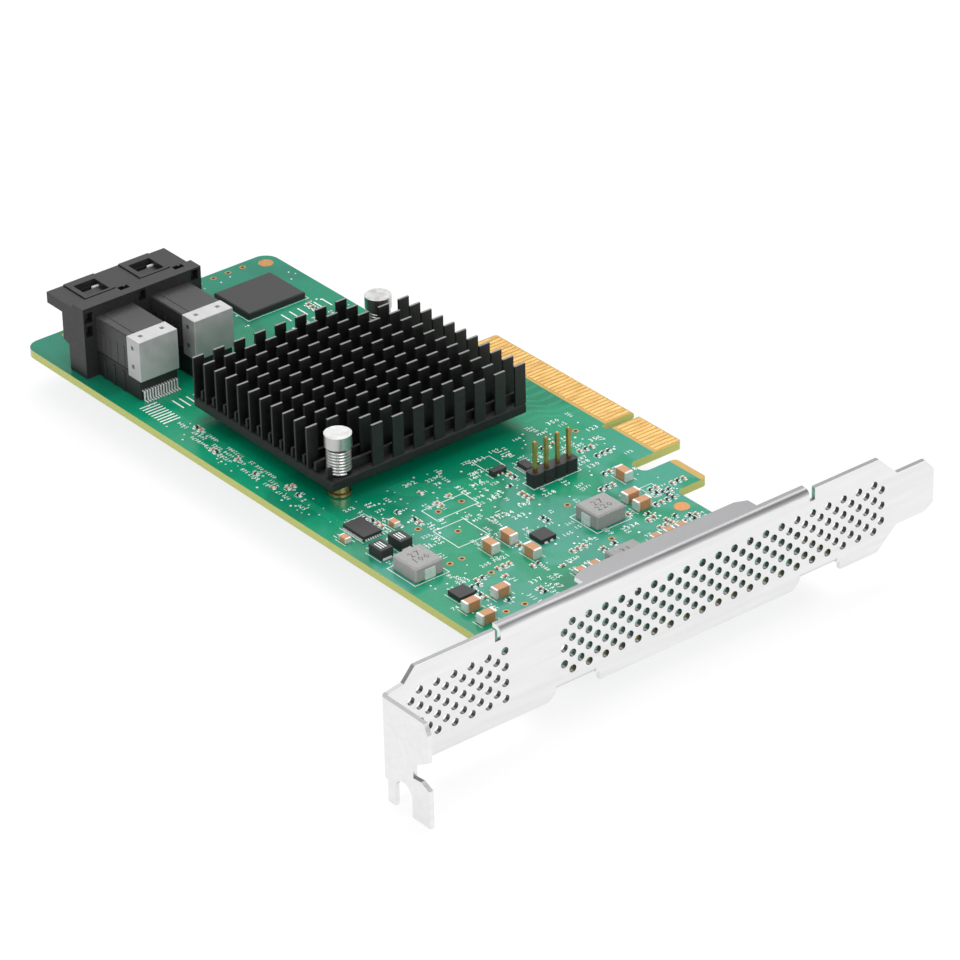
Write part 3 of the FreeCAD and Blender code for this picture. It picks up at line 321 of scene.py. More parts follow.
link(paper, whitened.outputs[0], paper.node_tree.nodes["Material Output"].inputs["Surface"])
floor_mesh = bpy.data.meshes.new("floor")
floor_mesh.from_pydata([(i * FLOOR_REACH, j * FLOOR_REACH, cad_box[0][2] - FLOOR_GAP)
                        for i, j in ((-1, -1), (1, -1), (1, 1), (-1, 1))], [], [(0, 1, 2, 3)])
floor_mesh.materials.append(paper)
add_object("floor", floor_mesh)

# %% [markdown]
# ### Plated and bare metal
# The bracket is nickel-plated steel: rolled, so its grain runs one way, drawn by noise that is
# stretched along the bracket; its folded faces, which look up, get painted shade, a darker grey.
# The heatsink is black and half matt.

# %% Metals
bracket_plate = grain("bracket_plate", 0.80, 0.86, 900, (0.30, 0.40), 0.05, 1.0,
                      stretch=(1, 0.06, 1))
screw_plate = grain("screw_plate", (0.62, 0.62, 0.63), 0.72, 3000, (0.22, 0.35), 0.1, 1.0)
cover_plate = grain("cover_plate", 0.44, 0.50, 500, (0.46, 0.54), 0.02, 0.55, stretch=(0.2, 1, 1))
pin_plate = grain("pin_plate", (0.50, 0.50, 0.49), (0.60, 0.60, 0.59),
                  900, (0.30, 0.40), 0.03, 1.0, stretch=(1, 1, 0.2))
tin = grain("tin", (0.74, 0.74, 0.75), 0.88, 4000, (0.25, 0.45), 0.15, 0.45)
gold = grain("gold", (0.72, 0.43, 0.14), (0.80, 0.51, 0.20),
             1500, (0.28, 0.42), 0.05, 1.0, stretch=(1, 0.2, 1))
anodised = grain("anodised", (0.004, 0.004, 0.005), (0.008, 0.008, 0.009),
                 1800, (0.42, 0.55), 0.1, stretch=(1, 0.2, 1))
# Painted shade: the bracket's folded faces, which look up, are coloured a darker grey.
FOLD_SHADE_GREY = (0.25, 0.25, 0.255)
recolour(bracket_plate, facing(bracket_plate, "Z", 0, 1, 0.35, 0.9), FOLD_SHADE_GREY)
paint(["bracket"], bracket_plate)
paint(["heatsink"], anodised)
paint(["bracket_screws"], screw_plate)
paint(["port_shield_1", "port_shield_2"], cover_plate)
paint(["push_pin_1", "push_pin_2", "push_pin_spring_1", "push_pin_spring_2"], pin_plate)
paint(["port_tails_1", "port_tails_2", "inductor_terminals"], tin)
paint(["edge_contacts_top", "edge_contacts_bottom", "header_pins"], gold)

# %% [markdown]
# ### Plastics and packages
# Moulded nylon is slightly uneven and half matt.  Packages of black epoxy are finer and flatter.
# Pressed powder, as in the inductors, is coarse and grey.

# %% Plastics
black_nylon = grain("black_nylon", (0.008, 0.008, 0.009), (0.014, 0.014, 0.015),
                    2500, (0.42, 0.55), 0.15)
grey_nylon = grain("grey_nylon", (0.022, 0.022, 0.023), (0.04, 0.04, 0.041),
                   2500, (0.38, 0.5), 0.15)
epoxy = grain("epoxy", (0.014, 0.014, 0.015), (0.024, 0.024, 0.025), 5000, (0.45, 0.6), 0.2)
ferrite = grain("ferrite", (0.26, 0.26, 0.255), (0.36, 0.355, 0.345), 3500, (0.6, 0.8), 0.5)
fired_ceramic = grain("fired_ceramic", (0.44, 0.20, 0.09), (0.56, 0.29, 0.14),
                      4000, (0.4, 0.6), 0.2)
pad_rubber = grain("pad_rubber", (0.36, 0.36, 0.38), (0.44, 0.44, 0.46), 3000, (0.7, 0.9), 0.3)
paint(["port_housing", "header_block"], black_nylon)
paint(["port_body_1", "port_body_2"], grey_nylon)
paint(["controller_chip", "flash_chip", "power_controller", "power_stages", "logic_chip",
       "transistor", "moulded_capacitors"], epoxy)
paint(["inductor_1", "inductor_2", "inductor_3"], ferrite)
paint(["large_ceramic_capacitors", "small_ceramic_capacitors"], fired_ceramic)
paint(["thermal_pad"], pad_rubber)

# %% [markdown]
# ### Solder mask
# The board is glass cloth in resin, with copper on it, under green lacquer.  Over a copper area
# the green is bright, and over bare laminate it is dark: a coarse noise draws these areas, and a
# fine one the weave of the cloth.  The middle has a pale haze in patches, which is a painted sheen,
# and the end with the ports is painted darker, as painted shade.  At the edge the laminate itself
# shows, yellow-green; round the contact fingers there is no lacquer.

# %% Board finish
lacquer = new_finish("lacquer")
place = object_place(lacquer)
weave = noise(lacquer, place, 1600, 2.0)
areas = span(lacquer, noise(lacquer, place, 45, 1.0), 0, 1, 0.46, 0.5)
green = blend(lacquer, areas, (0.0, 0.20, 0.10), (0.0, 0.27, 0.135))
green = blend(lacquer, span(lacquer, weave, 0, 0.35), green, (0.002, 0.14, 0.075))
# Painted sheen: pale patches laid over the green in the middle of the board.
sheen_patches = span(lacquer, noise(lacquer, place, 70, 2.0), 0.0, 1.0, 0.47, 0.52)
board_x = along_axis(lacquer, "Object", "X")
middle = span(lacquer, board_x, 0.0, 0.75, -12 * MM, 16 * MM)
green = blend(lacquer, reckon(lacquer, "MULTIPLY", sheen_patches, middle), green, (0.05, 0.30, 0.22))
# Painted shade: the end with the ports is coloured a darker green.
port_end_shade = span(lacquer, board_x, 0.55, 0.0, -86 * MM, -60 * MM)
green = blend(lacquer, port_end_shade, green, (0.02, 0.17, 0.13))
bare = span(lacquer, along_axis(lacquer, "Object", "Y"), 0, 1,
            EDGE_Y - 6.85 * MM, EDGE_Y - 6.75 * MM)
colour = blend(lacquer, bare, green, (0.52, 0.33, 0.09))
colour = blend(lacquer, facing(lacquer, "Z", 1, 0, 0.5, 0.9), colour, (0.42, 0.45, 0.10))
link(lacquer, colour, shader_of(lacquer).inputs["Base Color"])
link(lacquer, span(lacquer, weave, 0.16, 0.26), shader_of(lacquer).inputs["Roughness"])
relief(lacquer, weave, 0.15, 0.02)
paint(["circuit_board"], lacquer)

# %% [markdown]
# ## Pieces
# The next cells add pieces to the frame.  Each new mesh is built in place, so its object sits at
# the origin as the frame's own objects do, and each rides on the card's one body.

# %% Piece helpers
def finished(mesh, name, solid=True):
    """A plain mesh from an edited one; the faces of a solid are turned outwards."""
    if isinstance(mesh, bpy.types.Mesh):
        return mesh
    if solid:
        bmesh.ops.recalc_face_normals(mesh, faces=mesh.faces)
    made = bpy.data.meshes.new(name)
    mesh.to_mesh(made)
    mesh.free()
    return made


def piece(name, mesh, finish, slot, *replaced, solid=True):
    """Put a mesh on the card, and hide the frame's nodes that it stands for."""
    mesh = finished(mesh, name, solid)
    made = add_object(name, mesh)
    mesh.materials.clear()
    mesh.materials.append(finish)
    mesh.polygons.foreach_set("material_index", [0] * len(mesh.polygons))
    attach(made, "root")
    if replaced:
        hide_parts(*replaced)
    print(name, len(mesh.polygons), "faces")


def block(mesh, low, high, chamfer=0.0):
    """Add a box between two corners, in metres, with its edges bevelled."""
    low, high = Vector(low), Vector(high)
    size = Matrix.Diagonal((*(high - low), 1))
    made = bmesh.ops.create_cube(mesh, size=1.0, matrix=Matrix.Translation((low + high) / 2) @ size)
    if chamfer:
        edges = list(dict.fromkeys(edge for vertex in made["verts"] for edge in vertex.link_edges))
        bmesh.ops.bevel(mesh, geom=edges, offset=chamfer, segments=1, affect="EDGES")


def small_block(mesh, low, high, chamfer):
    """A bevelled box for a unit, by corners in millimetres."""
    block(mesh, Vector(low) * MM, Vector(high) * MM, chamfer * MM)


def join_rings(mesh, rings):
    """Faces between each ring of vertices and the next."""
    for first, second in zip(rings, rings[1:]):
        for k in range(len(first)):
            j = (k + 1) % len(first)
            mesh.faces.new((first[k], first[j], second[j], second[k]))


def lathe(mesh, centre, profile, sides=32, hollow=False):
    """Turn a profile of (radius, height) points in millimetres round an upright axis."""
    angles = [2 * math.pi * k / sides for k in range(sides)]
    rings = [[mesh.verts.new((centre[0] + radius * MM * math.cos(a),
                              centre[1] + radius * MM * math.sin(a),
                              centre[2] + height * MM)) for a in angles]
             for radius, height in profile]
    if hollow:
        join_rings(mesh, rings + rings[:1])
    else:
        join_rings(mesh, rings)
        mesh.faces.new(rings[0][::-1])
        mesh.faces.new(rings[-1])


# %% [markdown]
# ### Repeating with Geometry Nodes
# Fins, vias, chips and tails are one shape many times over.  A small tree puts a unit on every
# point of a cloud.  Each point carries its own turn and size, and the tree ends by making the
# copies real and giving them their finish, so what comes out is a plain mesh.

# %% Geometry Nodes helpers
def new_tree(name, *inputs):
    """A tree with a geometry output and named inputs, each (name, kind, value)."""
    tree = bpy.data.node_groups.new(name, "GeometryNodeTree")
    tree.interface.new_socket("Geometry", in_out="INPUT", socket_type="NodeSocketGeometry")
    for label, kind, value in inputs:
        socket = tree.interface.new_socket(label, in_out="INPUT", socket_type="NodeSocket" + kind)
        if value is not None:
            socket.default_value = value
    tree.interface.new_socket("Geometry", in_out="OUTPUT", socket_type="NodeSocketGeometry")
    return tree, tree.nodes.new("NodeGroupInput"), tree.nodes.new("NodeGroupOutput")


def wire(tree, *pairs):
    """Link pairs of sockets."""
    for source, target in pairs:
        tree.links.new(source, target)


def end_tree(tree, feed, geometry, result):
    """The last steps of a tree: make the copies real and give them their finish."""
    real = node(tree, "GeometryNodeRealizeInstances")
    set_finish = node(tree, "GeometryNodeSetMaterial")
    wire(tree, (geometry, real.inputs["Geometry"]),
         (real.outputs["Geometry"], set_finish.inputs["Geometry"]),
         (feed.outputs["Finish"], set_finish.inputs["Material"]),
         (set_finish.outputs["Geometry"], result.inputs["Geometry"]))


def plain_mesh(holder):
    """The mesh that an object comes to; the object goes."""
    graph = bpy.context.evaluated_depsgraph_get()
    made = bpy.data.meshes.new_from_object(holder.evaluated_get(graph))
    bpy.data.objects.remove(holder)
    return made


def grow(name, tree, mesh, values):
    """Run a tree on a mesh with these input values, and return the plain mesh that it makes."""
    holder = add_object(name, mesh)
    modifier = holder.modifiers.new("nodes", "NODES")
    modifier.node_group = tree
    for item in tree.interface.items_tree:
        if item.in_out == "INPUT" and item.name in values:
            modifier[item.identifier] = values[item.name]
    return plain_mesh(holder)


tree, feed, result = new_tree("unit_on_points", ("Unit", "Object", None),
                              ("Finish", "Material", None), ("Scale", "Float", 1.0))
copies = node(tree, "GeometryNodeInstanceOnPoints")
unit_info = node(tree, "GeometryNodeObjectInfo")
turn_of_point = node(tree, "GeometryNodeInputNamedAttribute", Name="turn")
about_z = node(tree, "ShaderNodeCombineXYZ")
size_of_point = node(tree, "GeometryNodeInputNamedAttribute", data_type="FLOAT_VECTOR", Name="size")
scaled = node(tree, "ShaderNodeVectorMath", operation="SCALE")
wire(tree,
     (feed.outputs["Geometry"], copies.inputs["Points"]),
     (feed.outputs["Unit"], unit_info.inputs["Object"]),
     (unit_info.outputs["Geometry"], copies.inputs["Instance"]),
     (turn_of_point.outputs["Attribute"], about_z.inputs["Z"]),
     (about_z.outputs["Vector"], copies.inputs["Rotation"]),
     (size_of_point.outputs["Attribute"], scaled.inputs[0]),
     (feed.outputs["Scale"], scaled.inputs["Scale"]),
     (scaled.outputs["Vector"], copies.inputs["Scale"]))
end_tree(tree, feed, copies.outputs["Instances"], result)
scatter_tree = tree


def scatter(name, unit, points, finish, turns=None, sizes=None):
    """A mesh with a copy of a unit at every point; turns in degrees, sizes as scale vectors."""
    cloud = bpy.data.meshes.new(name + "_cloud")
    cloud.from_pydata([tuple(point) for point in points], [], [])
    turns = turns or [0] * len(points)
    sizes = sizes or [(1, 1, 1)] * len(points)
    turn_data = cloud.attributes.new("turn", "FLOAT", "POINT").data
    turn_data.foreach_set("value", [math.radians(degrees) for degrees in turns])
    size_data = cloud.attributes.new("size", "FLOAT_VECTOR", "POINT").data
    size_data.foreach_set("vector", [value for size in sizes for value in size])
    holder = add_object(name + "_unit", finished(unit, name + "_unit"))
    made = grow(name, scatter_tree, cloud, {"Unit": holder, "Finish": finish, "Scale": 1.0})
    bpy.data.objects.remove(holder)
    return made


def strew(name, unit, points, finish, slot, *replaced, turns=None, sizes=None):
    """A piece made of copies of a unit."""
    piece(name, scatter(name, unit, points, finish, turns, sizes), finish, slot, *replaced)


# %% [markdown]
# ## Heatsink
# The heatsink is an extruded comb of aluminium, cut across into tabs.  Its fins are thinner than
# the solid ones, so the comb is built again here: one tab, repeated on a grid that leaves the
# two corners with the pins free, on a base with low ribs.

# %% Heatsink
FIN_ROWS, TABS = 13, 10
FIN_THICKNESS, TAB_LENGTH = 0.45 * MM, 2.4 * MM
BASE_THICKNESS = 2.0 * MM
sink_low, sink_high = corners_of("heatsink")
SOLID_FIN = 0.85 * MM
row_pitch = (sink_high.x - sink_low.x - SOLID_FIN) / (FIN_ROWS - 1)
tab_pitch = (sink_high.y - sink_low.y - TAB_LENGTH) / (TABS - 1)
base_top = sink_low.z + BASE_THICKNESS


def under_a_pin(row, tab):
    """Does a tab stand in one of the two corners that the pins go through?"""
    return (row >= FIN_ROWS - 2 and tab < 2) or (row < 2 and tab >= TABS - 2)


fin_places = [(sink_low.x + SOLID_FIN / 2 + row * row_pitch,
               sink_low.y + TAB_LENGTH / 2 + tab * tab_pitch, base_top)
              for row in range(FIN_ROWS) for tab in range(TABS) if not under_a_pin(row, tab)]
tab_mesh = bmesh.new()
block(tab_mesh, (-FIN_THICKNESS / 2, -TAB_LENGTH / 2, -0.05 * MM),
      (FIN_THICKNESS / 2, TAB_LENGTH / 2, sink_high.z - base_top), 0.05 * MM)
comb = scatter("fin_comb", tab_mesh, fin_places, anodised)
sink_mesh = bmesh.new()
sink_mesh.from_mesh(comb)
block(sink_mesh, sink_low, (sink_high.x, sink_high.y, base_top), 0.25 * MM)
for row in range(FIN_ROWS - 1):
    x = sink_low.x + SOLID_FIN / 2 + (row + 0.5) * row_pitch
    block(sink_mesh, (x - 0.3 * MM, sink_low.y + 0.4 * MM, base_top - 0.1 * MM),
          (x + 0.3 * MM, sink_high.y - 0.4 * MM, base_top + 1.8 * MM), 0.06 * MM)
piece("heatsink_comb", sink_mesh, anodised, "black_aluminium", "heatsink")
print(len(fin_places), "fin tabs, rows", round(row_pitch / MM, 2), "mm apart")

# %% [markdown]
# The fin tops are painted light grey: bare metal, where they were sawn after the anodising, and a
# painted highlight along their top edges.  The finish finds them by height alone.

# %% Fin tops, with a painted highlight
FIN_TOP_HIGHLIGHT_GREY = (0.20, 0.20, 0.205)
fin_top_highlight = span(anodised, along_axis(anodised, "Object", "Z"), 0, 1,
            sink_high.z - 0.08 * MM, sink_high.z - 0.03 * MM)
# Painted highlight: the top of every fin is coloured light grey.
recolour(anodised, fin_top_highlight, FIN_TOP_HIGHLIGHT_GREY)

# %% [markdown]
# ## Push pin springs
# A spring is a circle carried along a spiral.  Geometry Nodes have both curves, so the tree is
# short: the spiral's height and radius come from the box of the solid spring.

# %% Springs
SPRING_TURNS = 8
WIRE = 0.62 * MM
tree, feed, result = new_tree(
    "coil_spring", ("Radius", "Float", 0.002), ("Height", "Float", 0.005), ("Turns", "Float", 8.0),
    ("Wire", "Float", 0.0003), ("Place", "Vector", None), ("Finish", "Material", None))
spiral = node(tree, "GeometryNodeCurveSpiral", Resolution=28)
section = node(tree, "GeometryNodeCurvePrimitiveCircle", Resolution=10)
tube = node(tree, "GeometryNodeCurveToMesh", Fill_Caps=True)
moved = node(tree, "GeometryNodeTransform")
wire(tree,
     (feed.outputs["Radius"], spiral.inputs["Start Radius"]),
     (feed.outputs["Radius"], spiral.inputs["End Radius"]),
     (feed.outputs["Height"], spiral.inputs["Height"]),
     (feed.outputs["Turns"], spiral.inputs["Rotations"]),
     (feed.outputs["Wire"], section.inputs["Radius"]),
     (spiral.outputs["Curve"], tube.inputs["Curve"]),
     (section.outputs["Curve"], tube.inputs["Profile Curve"]),
     (tube.outputs["Mesh"], moved.inputs["Geometry"]),
     (feed.outputs["Place"], moved.inputs["Translation"]))
end_tree(tree, feed, moved.outputs["Geometry"], result)
spring_tree = tree
for spring in ("push_pin_spring_1", "push_pin_spring_2"):
    low, high = corners_of(spring)
    foot = middle_of(spring)
    foot.z = low.z + WIRE / 2
    coil = grow(spring + "_wire", spring_tree, bpy.data.meshes.new("no_mesh"), {
        "Radius": (high.x - low.x - WIRE) / 2, "Height": high.z - low.z - WIRE,
        "Turns": float(SPRING_TURNS), "Wire": WIRE / 2, "Place": foot, "Finish": pin_plate})
    coil.polygons.foreach_set("use_smooth", [True] * len(coil.polygons))
    piece(spring + "_wire", coil, pin_plate, "spring_steel", spring)

# %% [markdown]
# Under the heatsink each pin has a short brass foot that stands on the board.

# %% Pin feet
brass = grain("brass", (0.62, 0.40, 0.16), (0.74, 0.52, 0.24), 2500, (0.25, 0.4), 0.1, 1.0)
feet = bmesh.new()
gap = (sink_low.z - TOP) / MM
for pin in ("push_pin_1", "push_pin_2"):
    centre = middle_of(pin)
    centre.z = TOP
    lathe(feet, centre, [(1.75, 0.02), (2.1, 0.25), (2.1, 0.7), (1.7, 0.95), (1.7, gap - 0.02)])
piece("pin_feet", feet, brass, "pin_metal")

# %% [markdown]
# ## Cable ports
# Behind the housing each port is a long insert: grey on top, black below, with a folded metal
# cover over its end and a comb of solder tails.  The real inserts are taller and set nearer the
# card's long edge than the solid ones, so they are built here at their true places.

# %% Port inserts
PORT_EDGES = ((-64.8, -56.3), (-52.5, -43.9))
INSERT_START, COVER_START, INSERT_END = -76.2, -65.45, -61.6
INSERT_TOP, SEAM, COVER_FOOT = 12.0, 5.0, 4.0
COVER_SHEET = 0.25
TAIL_COUNT, TAIL_PITCH = 13, 0.6


def port_block(mesh, x0, x1, y0, y1, z0, z1, chamfer):
    """A box by its sides: x and y from the datums and z from the board's top, in millimetres."""
    block(mesh, (x0 * MM, EDGE_Y + y0 * MM, TOP + z0 * MM),
          (x1 * MM, EDGE_Y + y1 * MM, TOP + z1 * MM), chamfer * MM)


upper, lower, cover = bmesh.new(), bmesh.new(), bmesh.new()
for y0, y1 in PORT_EDGES:
    port_block(upper, INSERT_START, COVER_START + 0.4, y0, y1, SEAM, INSERT_TOP, 0.2)
    port_block(upper, COVER_START + 0.3, INSERT_END - COVER_SHEET, y0 + 0.25, y1 - 0.25,
               SEAM, INSERT_TOP - 0.25, 0.05)
    for x in (-73.4, -71.2, -69.0, -66.8):
        port_block(upper, x, x + 0.5, y0 - 0.10, y1 + 0.10, SEAM + 0.3, 9.4, 0.05)
    port_block(upper, INSERT_START, COVER_START, y0 + 1.6, y0 + 1.9, INSERT_TOP - 0.05,
               INSERT_TOP + 0.10, 0.03)
    port_block(lower, INSERT_START + 1.1, INSERT_END - 0.6, y0 + 0.05, y1 - 0.05, 0.02, SEAM, 0.12)
    for x in (-73.4, -70.4, -67.4):
        port_block(lower, x, x + 0.7, y0 - 0.12, y1 + 0.12, 0.02, 4.2, 0.06)
    port_block(cover, COVER_START, INSERT_END, y0 - 0.02, y1 + 0.02, INSERT_TOP - COVER_SHEET,
               INSERT_TOP + 0.02, 0.06)
    for near, far in ((y0 - 0.03, y0 + COVER_SHEET), (y1 - COVER_SHEET, y1 + 0.03)):
        port_block(cover, COVER_START, INSERT_END, near, far, COVER_FOOT, INSERT_TOP - 0.05, 0.06)
    port_block(cover, INSERT_END - COVER_SHEET, INSERT_END + 0.02, y0 + 0.05, y1 - 0.05,
               COVER_FOOT, INSERT_TOP - 0.03, 0.06)
for y0, y1 in ((-56.4, -54.0), (-44.0, -41.8)):
    port_block(lower, -75.9, -75.05, y0, y1, 2.0, 9.95, 0.05)
piece("port_insert_tops", upper, grey_nylon, "grey_nylon", "port_body_1", "port_body_2")
piece("port_insert_feet", lower, black_nylon, "black_nylon")
piece("port_covers", cover, cover_plate, "shield_steel", "port_shield_1", "port_shield_2")

# %% [markdown]
# The cover holds on by small square dimples, pressed inwards along its top and its near side.
# They are painted as dark squares: painted shade in the pressed hollows.

# %% Cover dimples
# Painted shade: each dimple is a dark square laid on the cover.
dimple_shade = grain("dimple_shade", 0.10, 0.18, 3000, (0.4, 0.6), 0.1, 0.6)
dimples = bmesh.new()
for y0, y1 in PORT_EDGES:
    x0, x1 = COVER_START + 1.3, COVER_START + 2.1
    for share in (0.22, 0.78):
        y = y0 + share * (y1 - y0)
        port_block(dimples, x0, x1, y - 0.4, y + 0.4, INSERT_TOP - 0.1, INSERT_TOP + 0.04, 0.02)
    for z in (6.0, 9.8):
        port_block(dimples, x0, x1, y0 - 0.05, y0 + 0.1, z, z + 0.8, 0.02)
piece("cover_dimples", dimples, dimple_shade, "shield_steel")

# %% [markdown]
# A solder tail is a bent strip: out of the insert, down to the board, and along its pad.

# %% Solder tails
tail = bmesh.new()
small_block(tail, (-1.0, -0.15, 1.75), (0.55, 0.15, 2.0), 0.04)
small_block(tail, (0.35, -0.15, 0.1), (0.6, 0.15, 1.95), 0.04)
small_block(tail, (0.4, -0.15, 0.03), (1.5, 0.15, 0.25), 0.04)
tail_places = [on_board(INSERT_END - 0.5, (y0 + y1) / 2 + (k - (TAIL_COUNT - 1) / 2) * TAIL_PITCH)
               for y0, y1 in PORT_EDGES for k in range(TAIL_COUNT)]
strew("port_solder_tails", tail, tail_places, tin, "tinned_copper", "port_tails_1", "port_tails_2")

# %% [markdown]
# The latch windows in the housing's top show the light plastic slide below them.

# %% Latch slides
pale_nylon = grain("pale_nylon", 0.42, (0.55, 0.55, 0.54), 2500, (0.45, 0.6), 0.1)
slides = bmesh.new()
for y0, y1 in PORT_EDGES:
    middle = (y0 + y1) / 2 + 2.6
    port_block(slides, -83.9, -83.4, middle - 1.6, middle + 1.6, 10.2, 12.9, 0.08)
piece("latch_slides", slides, pale_nylon, "grey_nylon")

# %% [markdown]
# ## Round vents
# The solid bracket has six-sided vents.  Each gets a collar here: six-sided outside, where it
# fills the hole, and round inside.  Their places are found in the bracket's own mesh: the walls
# of one vent are faces that don't look along X, joined to each other, in a small box.

# %% Vent places
def merged_copy(node_name):
    """An editable copy of a node's mesh, with its triangles joined."""
    mesh = bmesh.new()
    mesh.from_mesh(NODES[node_name].data)
    bmesh.ops.remove_doubles(mesh, verts=mesh.verts, dist=1e-6)
    return mesh


def groups_in(items, neighbours):
    """Split items into the groups that touch."""
    waiting = dict.fromkeys(items)
    groups = []
    while waiting:
        group, front = [], [waiting.popitem()[0]]
        while front:
            item = front.pop()
            group.append(item)
            for other in neighbours(item):
                if other in waiting:
                    del waiting[other]
                    front.append(other)
        groups.append(group)
    return groups


def box_round(points):
    """The lowest and highest corners of a box round some points."""
    return (Vector([min(point[i] for point in points) for i in range(3)]),
            Vector([max(point[i] for point in points) for i in range(3)]))


def walls_in(node_name, largest):
    """Boxes of the small groups of joined faces that stand square to the sheet."""
    mesh = merged_copy(node_name)
    walls = [face for face in mesh.faces if abs(face.normal.x) < 0.1]
    groups = groups_in(walls, lambda face: [other for edge in face.edges
                                            for other in edge.link_faces])
    boxes = [box_round([vertex.co.copy() for face in group for vertex in face.verts])
             for group in groups]
    mesh.free()
    small = [(low, high) for low, high in boxes
             if max(high.y - low.y, high.z - low.z) < largest]
    return sorted(small, key=lambda pair: tuple(pair[0]))


vents = walls_in("bracket", 3.2 * MM)
sheet = sorted(high.x - low.x for low, high in vents)[len(vents) // 2]
vent_size = vents[0][1] - vents[0][0]
vent_width = min(vent_size.y, vent_size.z)
print(len(vents), "vents,", round(vent_width / MM, 2), "mm across")
print("sheet", round(sheet / MM, 2), "mm")

# %% [markdown]
# The bore walls are painted dark, as painted shade inside the vents.  The collar's finish is
# the face's own plating where it looks along X, and dark where it doesn't.

# %% Vent collars
collar_plate_and_bore_shade = grain("collar_plate_and_bore_shade", 0.80, 0.86, 900, (0.30, 0.40), 0.05, 1.0, stretch=(1, 0.06, 1))
# Painted shade: the walls that don't look along X are coloured dark grey.
recolour(collar_plate_and_bore_shade, facing(collar_plate_and_bore_shade, "X", 1, 0, 0.4, 0.8), 0.13)
COLLAR_SIDES = 24
bore = vent_width / 2 * 0.97
rim = vent_width / 2 / math.cos(math.pi / 6) * 1.01
proud = 0.006 * MM
collar = bmesh.new()
rows = []
for is_round, x in ((True, -proud), (True, sheet + proud),
                    (False, sheet + proud), (False, -proud)):
    ring = []
    for k in range(COLLAR_SIDES):
        a = 2 * math.pi * k / COLLAR_SIDES
        from_flat = (a + math.pi / 6) % (math.pi / 3) - math.pi / 6
        radius = bore if is_round else rim * math.cos(math.pi / 6) / math.cos(from_flat)
        ring.append(collar.verts.new((x, radius * math.cos(a), radius * math.sin(a))))
    rows.append(ring)
join_rings(collar, rows + rows[:1])
if vent_size.y > vent_size.z:
    bmesh.ops.rotate(collar, verts=collar.verts, cent=(0, 0, 0),
                     matrix=Matrix.Rotation(math.pi / 6, 3, "X"))
vent_points = [(low.x, (low.y + high.y) / 2, (low.z + high.z) / 2) for low, high in vents]
strew("vent_collars", collar, vent_points, collar_plate_and_bore_shade, "bracket_steel")

# %% [markdown]
# ## Where parts stand
# Printing, vias and small chips go between the larger parts.  A node such as the ceramic
# capacitors holds several separate bodies, so each body's own box is worked out first.

# %% Boxes of the parts on the board
def bodies_in(node_name):
    """Boxes of the separate bodies in a node, as pairs of corners."""
    mesh = merged_copy(node_name)
    groups = groups_in(mesh.verts, lambda vertex: [edge.other_vert(vertex)
                                                   for edge in vertex.link_edges])
    boxes = [box_round([vertex.co.copy() for vertex in group]) for group in groups]
    mesh.free()
    return sorted(boxes, key=lambda pair: tuple(pair[0]))


SMALL_PARTS = ("power_controller", "power_stages", "logic_chip", "transistor", "moulded_capacitors",
               "large_ceramic_capacitors", "small_ceramic_capacitors")
INDUCTORS = ("inductor_1", "inductor_2", "inductor_3")
parts_of = {name: bodies_in(name) for name in SMALL_PARTS}
taken = [pair for boxes in parts_of.values() for pair in boxes]
taken += [corners_of(name) for name in INDUCTORS + ("header_block", "flash_chip", "heatsink",
                                                    "port_housing")]
taken += [(on_board(-76.5, y0), on_board(-60.0, y1)) for y0, y1 in PORT_EDGES]
print(len(taken), "parts keep their places free")


def keep_free(points, room):
    """Keep a square round each point free, out to this many millimetres."""
    reach = Vector((room, room, 0)) * MM
    taken.extend((point - reach, point + reach) for point in points)


board_mesh = NODES["circuit_board"].data
board_tree = BVHTree.FromPolygons([vertex.co for vertex in board_mesh.vertices],
                                  [polygon.vertices for polygon in board_mesh.polygons])


def has_board(x, y):
    """Is there board surface right below a place?"""
    hit = board_tree.ray_cast(Vector((x, y, TOP + MM)), Vector((0, 0, -1)))[0]
    return hit is not None and abs(hit.z - TOP) < 0.01 * MM


def is_free(x, y, margin):
    """Is a place on the board (metres) clear of edges and parts by a margin in millimetres?"""
    room = margin * MM
    edge = 1.4 * room
    if not all(has_board(x + i * edge, y + j * edge) for i in (-1, 1) for j in (-1, 1)):
        return False
    return not any(low.x - room < x < high.x + room and low.y - room < y < high.y + room
                   for low, high in taken)


# %% [markdown]
# ## Ceramic capacitors
# A ceramic capacitor is a fired brick with silver ends baked onto it.  The brick is the frame's
# own; the ends wrap it here, a few hundredths of a millimetre proud, across its longer side.

# %% Capacitor ends
silver = grain("silver", (0.74, 0.74, 0.75), 0.90, 3500, (0.35, 0.5), 0.15, 0.6)
END_SHARE = 0.14
END_SKIN = Vector((0.03, 0.03, 0.03)) * MM
ends = bmesh.new()
for name in ("large_ceramic_capacitors", "small_ceramic_capacitors"):
    for low, high in parts_of[name]:
        axis = 0 if high.x - low.x > high.y - low.y else 1
        cap = (high[axis] - low[axis]) * END_SHARE
        for start in (low[axis], high[axis] - cap):
            near, far = low.copy(), high.copy()
            near[axis], far[axis] = start, start + cap
            near, far = near - END_SKIN, far + END_SKIN
            near.z = TOP + 0.01 * MM
            block(ends, near, far, 0.08 * MM)
piece("capacitor_ends", ends, silver, "tinned_copper")

# %% [markdown]
# ## Package leads
# Flat packages stand on rows of small tinned lands that peep out all round, the transistor has
# short legs along two sides, and the moulded capacitors have a folded strip at each end.  One
# land is repeated along the sides of each package's box.

# %% Leads
def lead_row(centre, along, half_length, pitch):
    """Places along one side of a package, evenly about its middle."""
    count = max(1, int(2 * half_length / pitch))
    return [centre + along * ((k - (count - 1) / 2) * pitch) for k in range(count)]


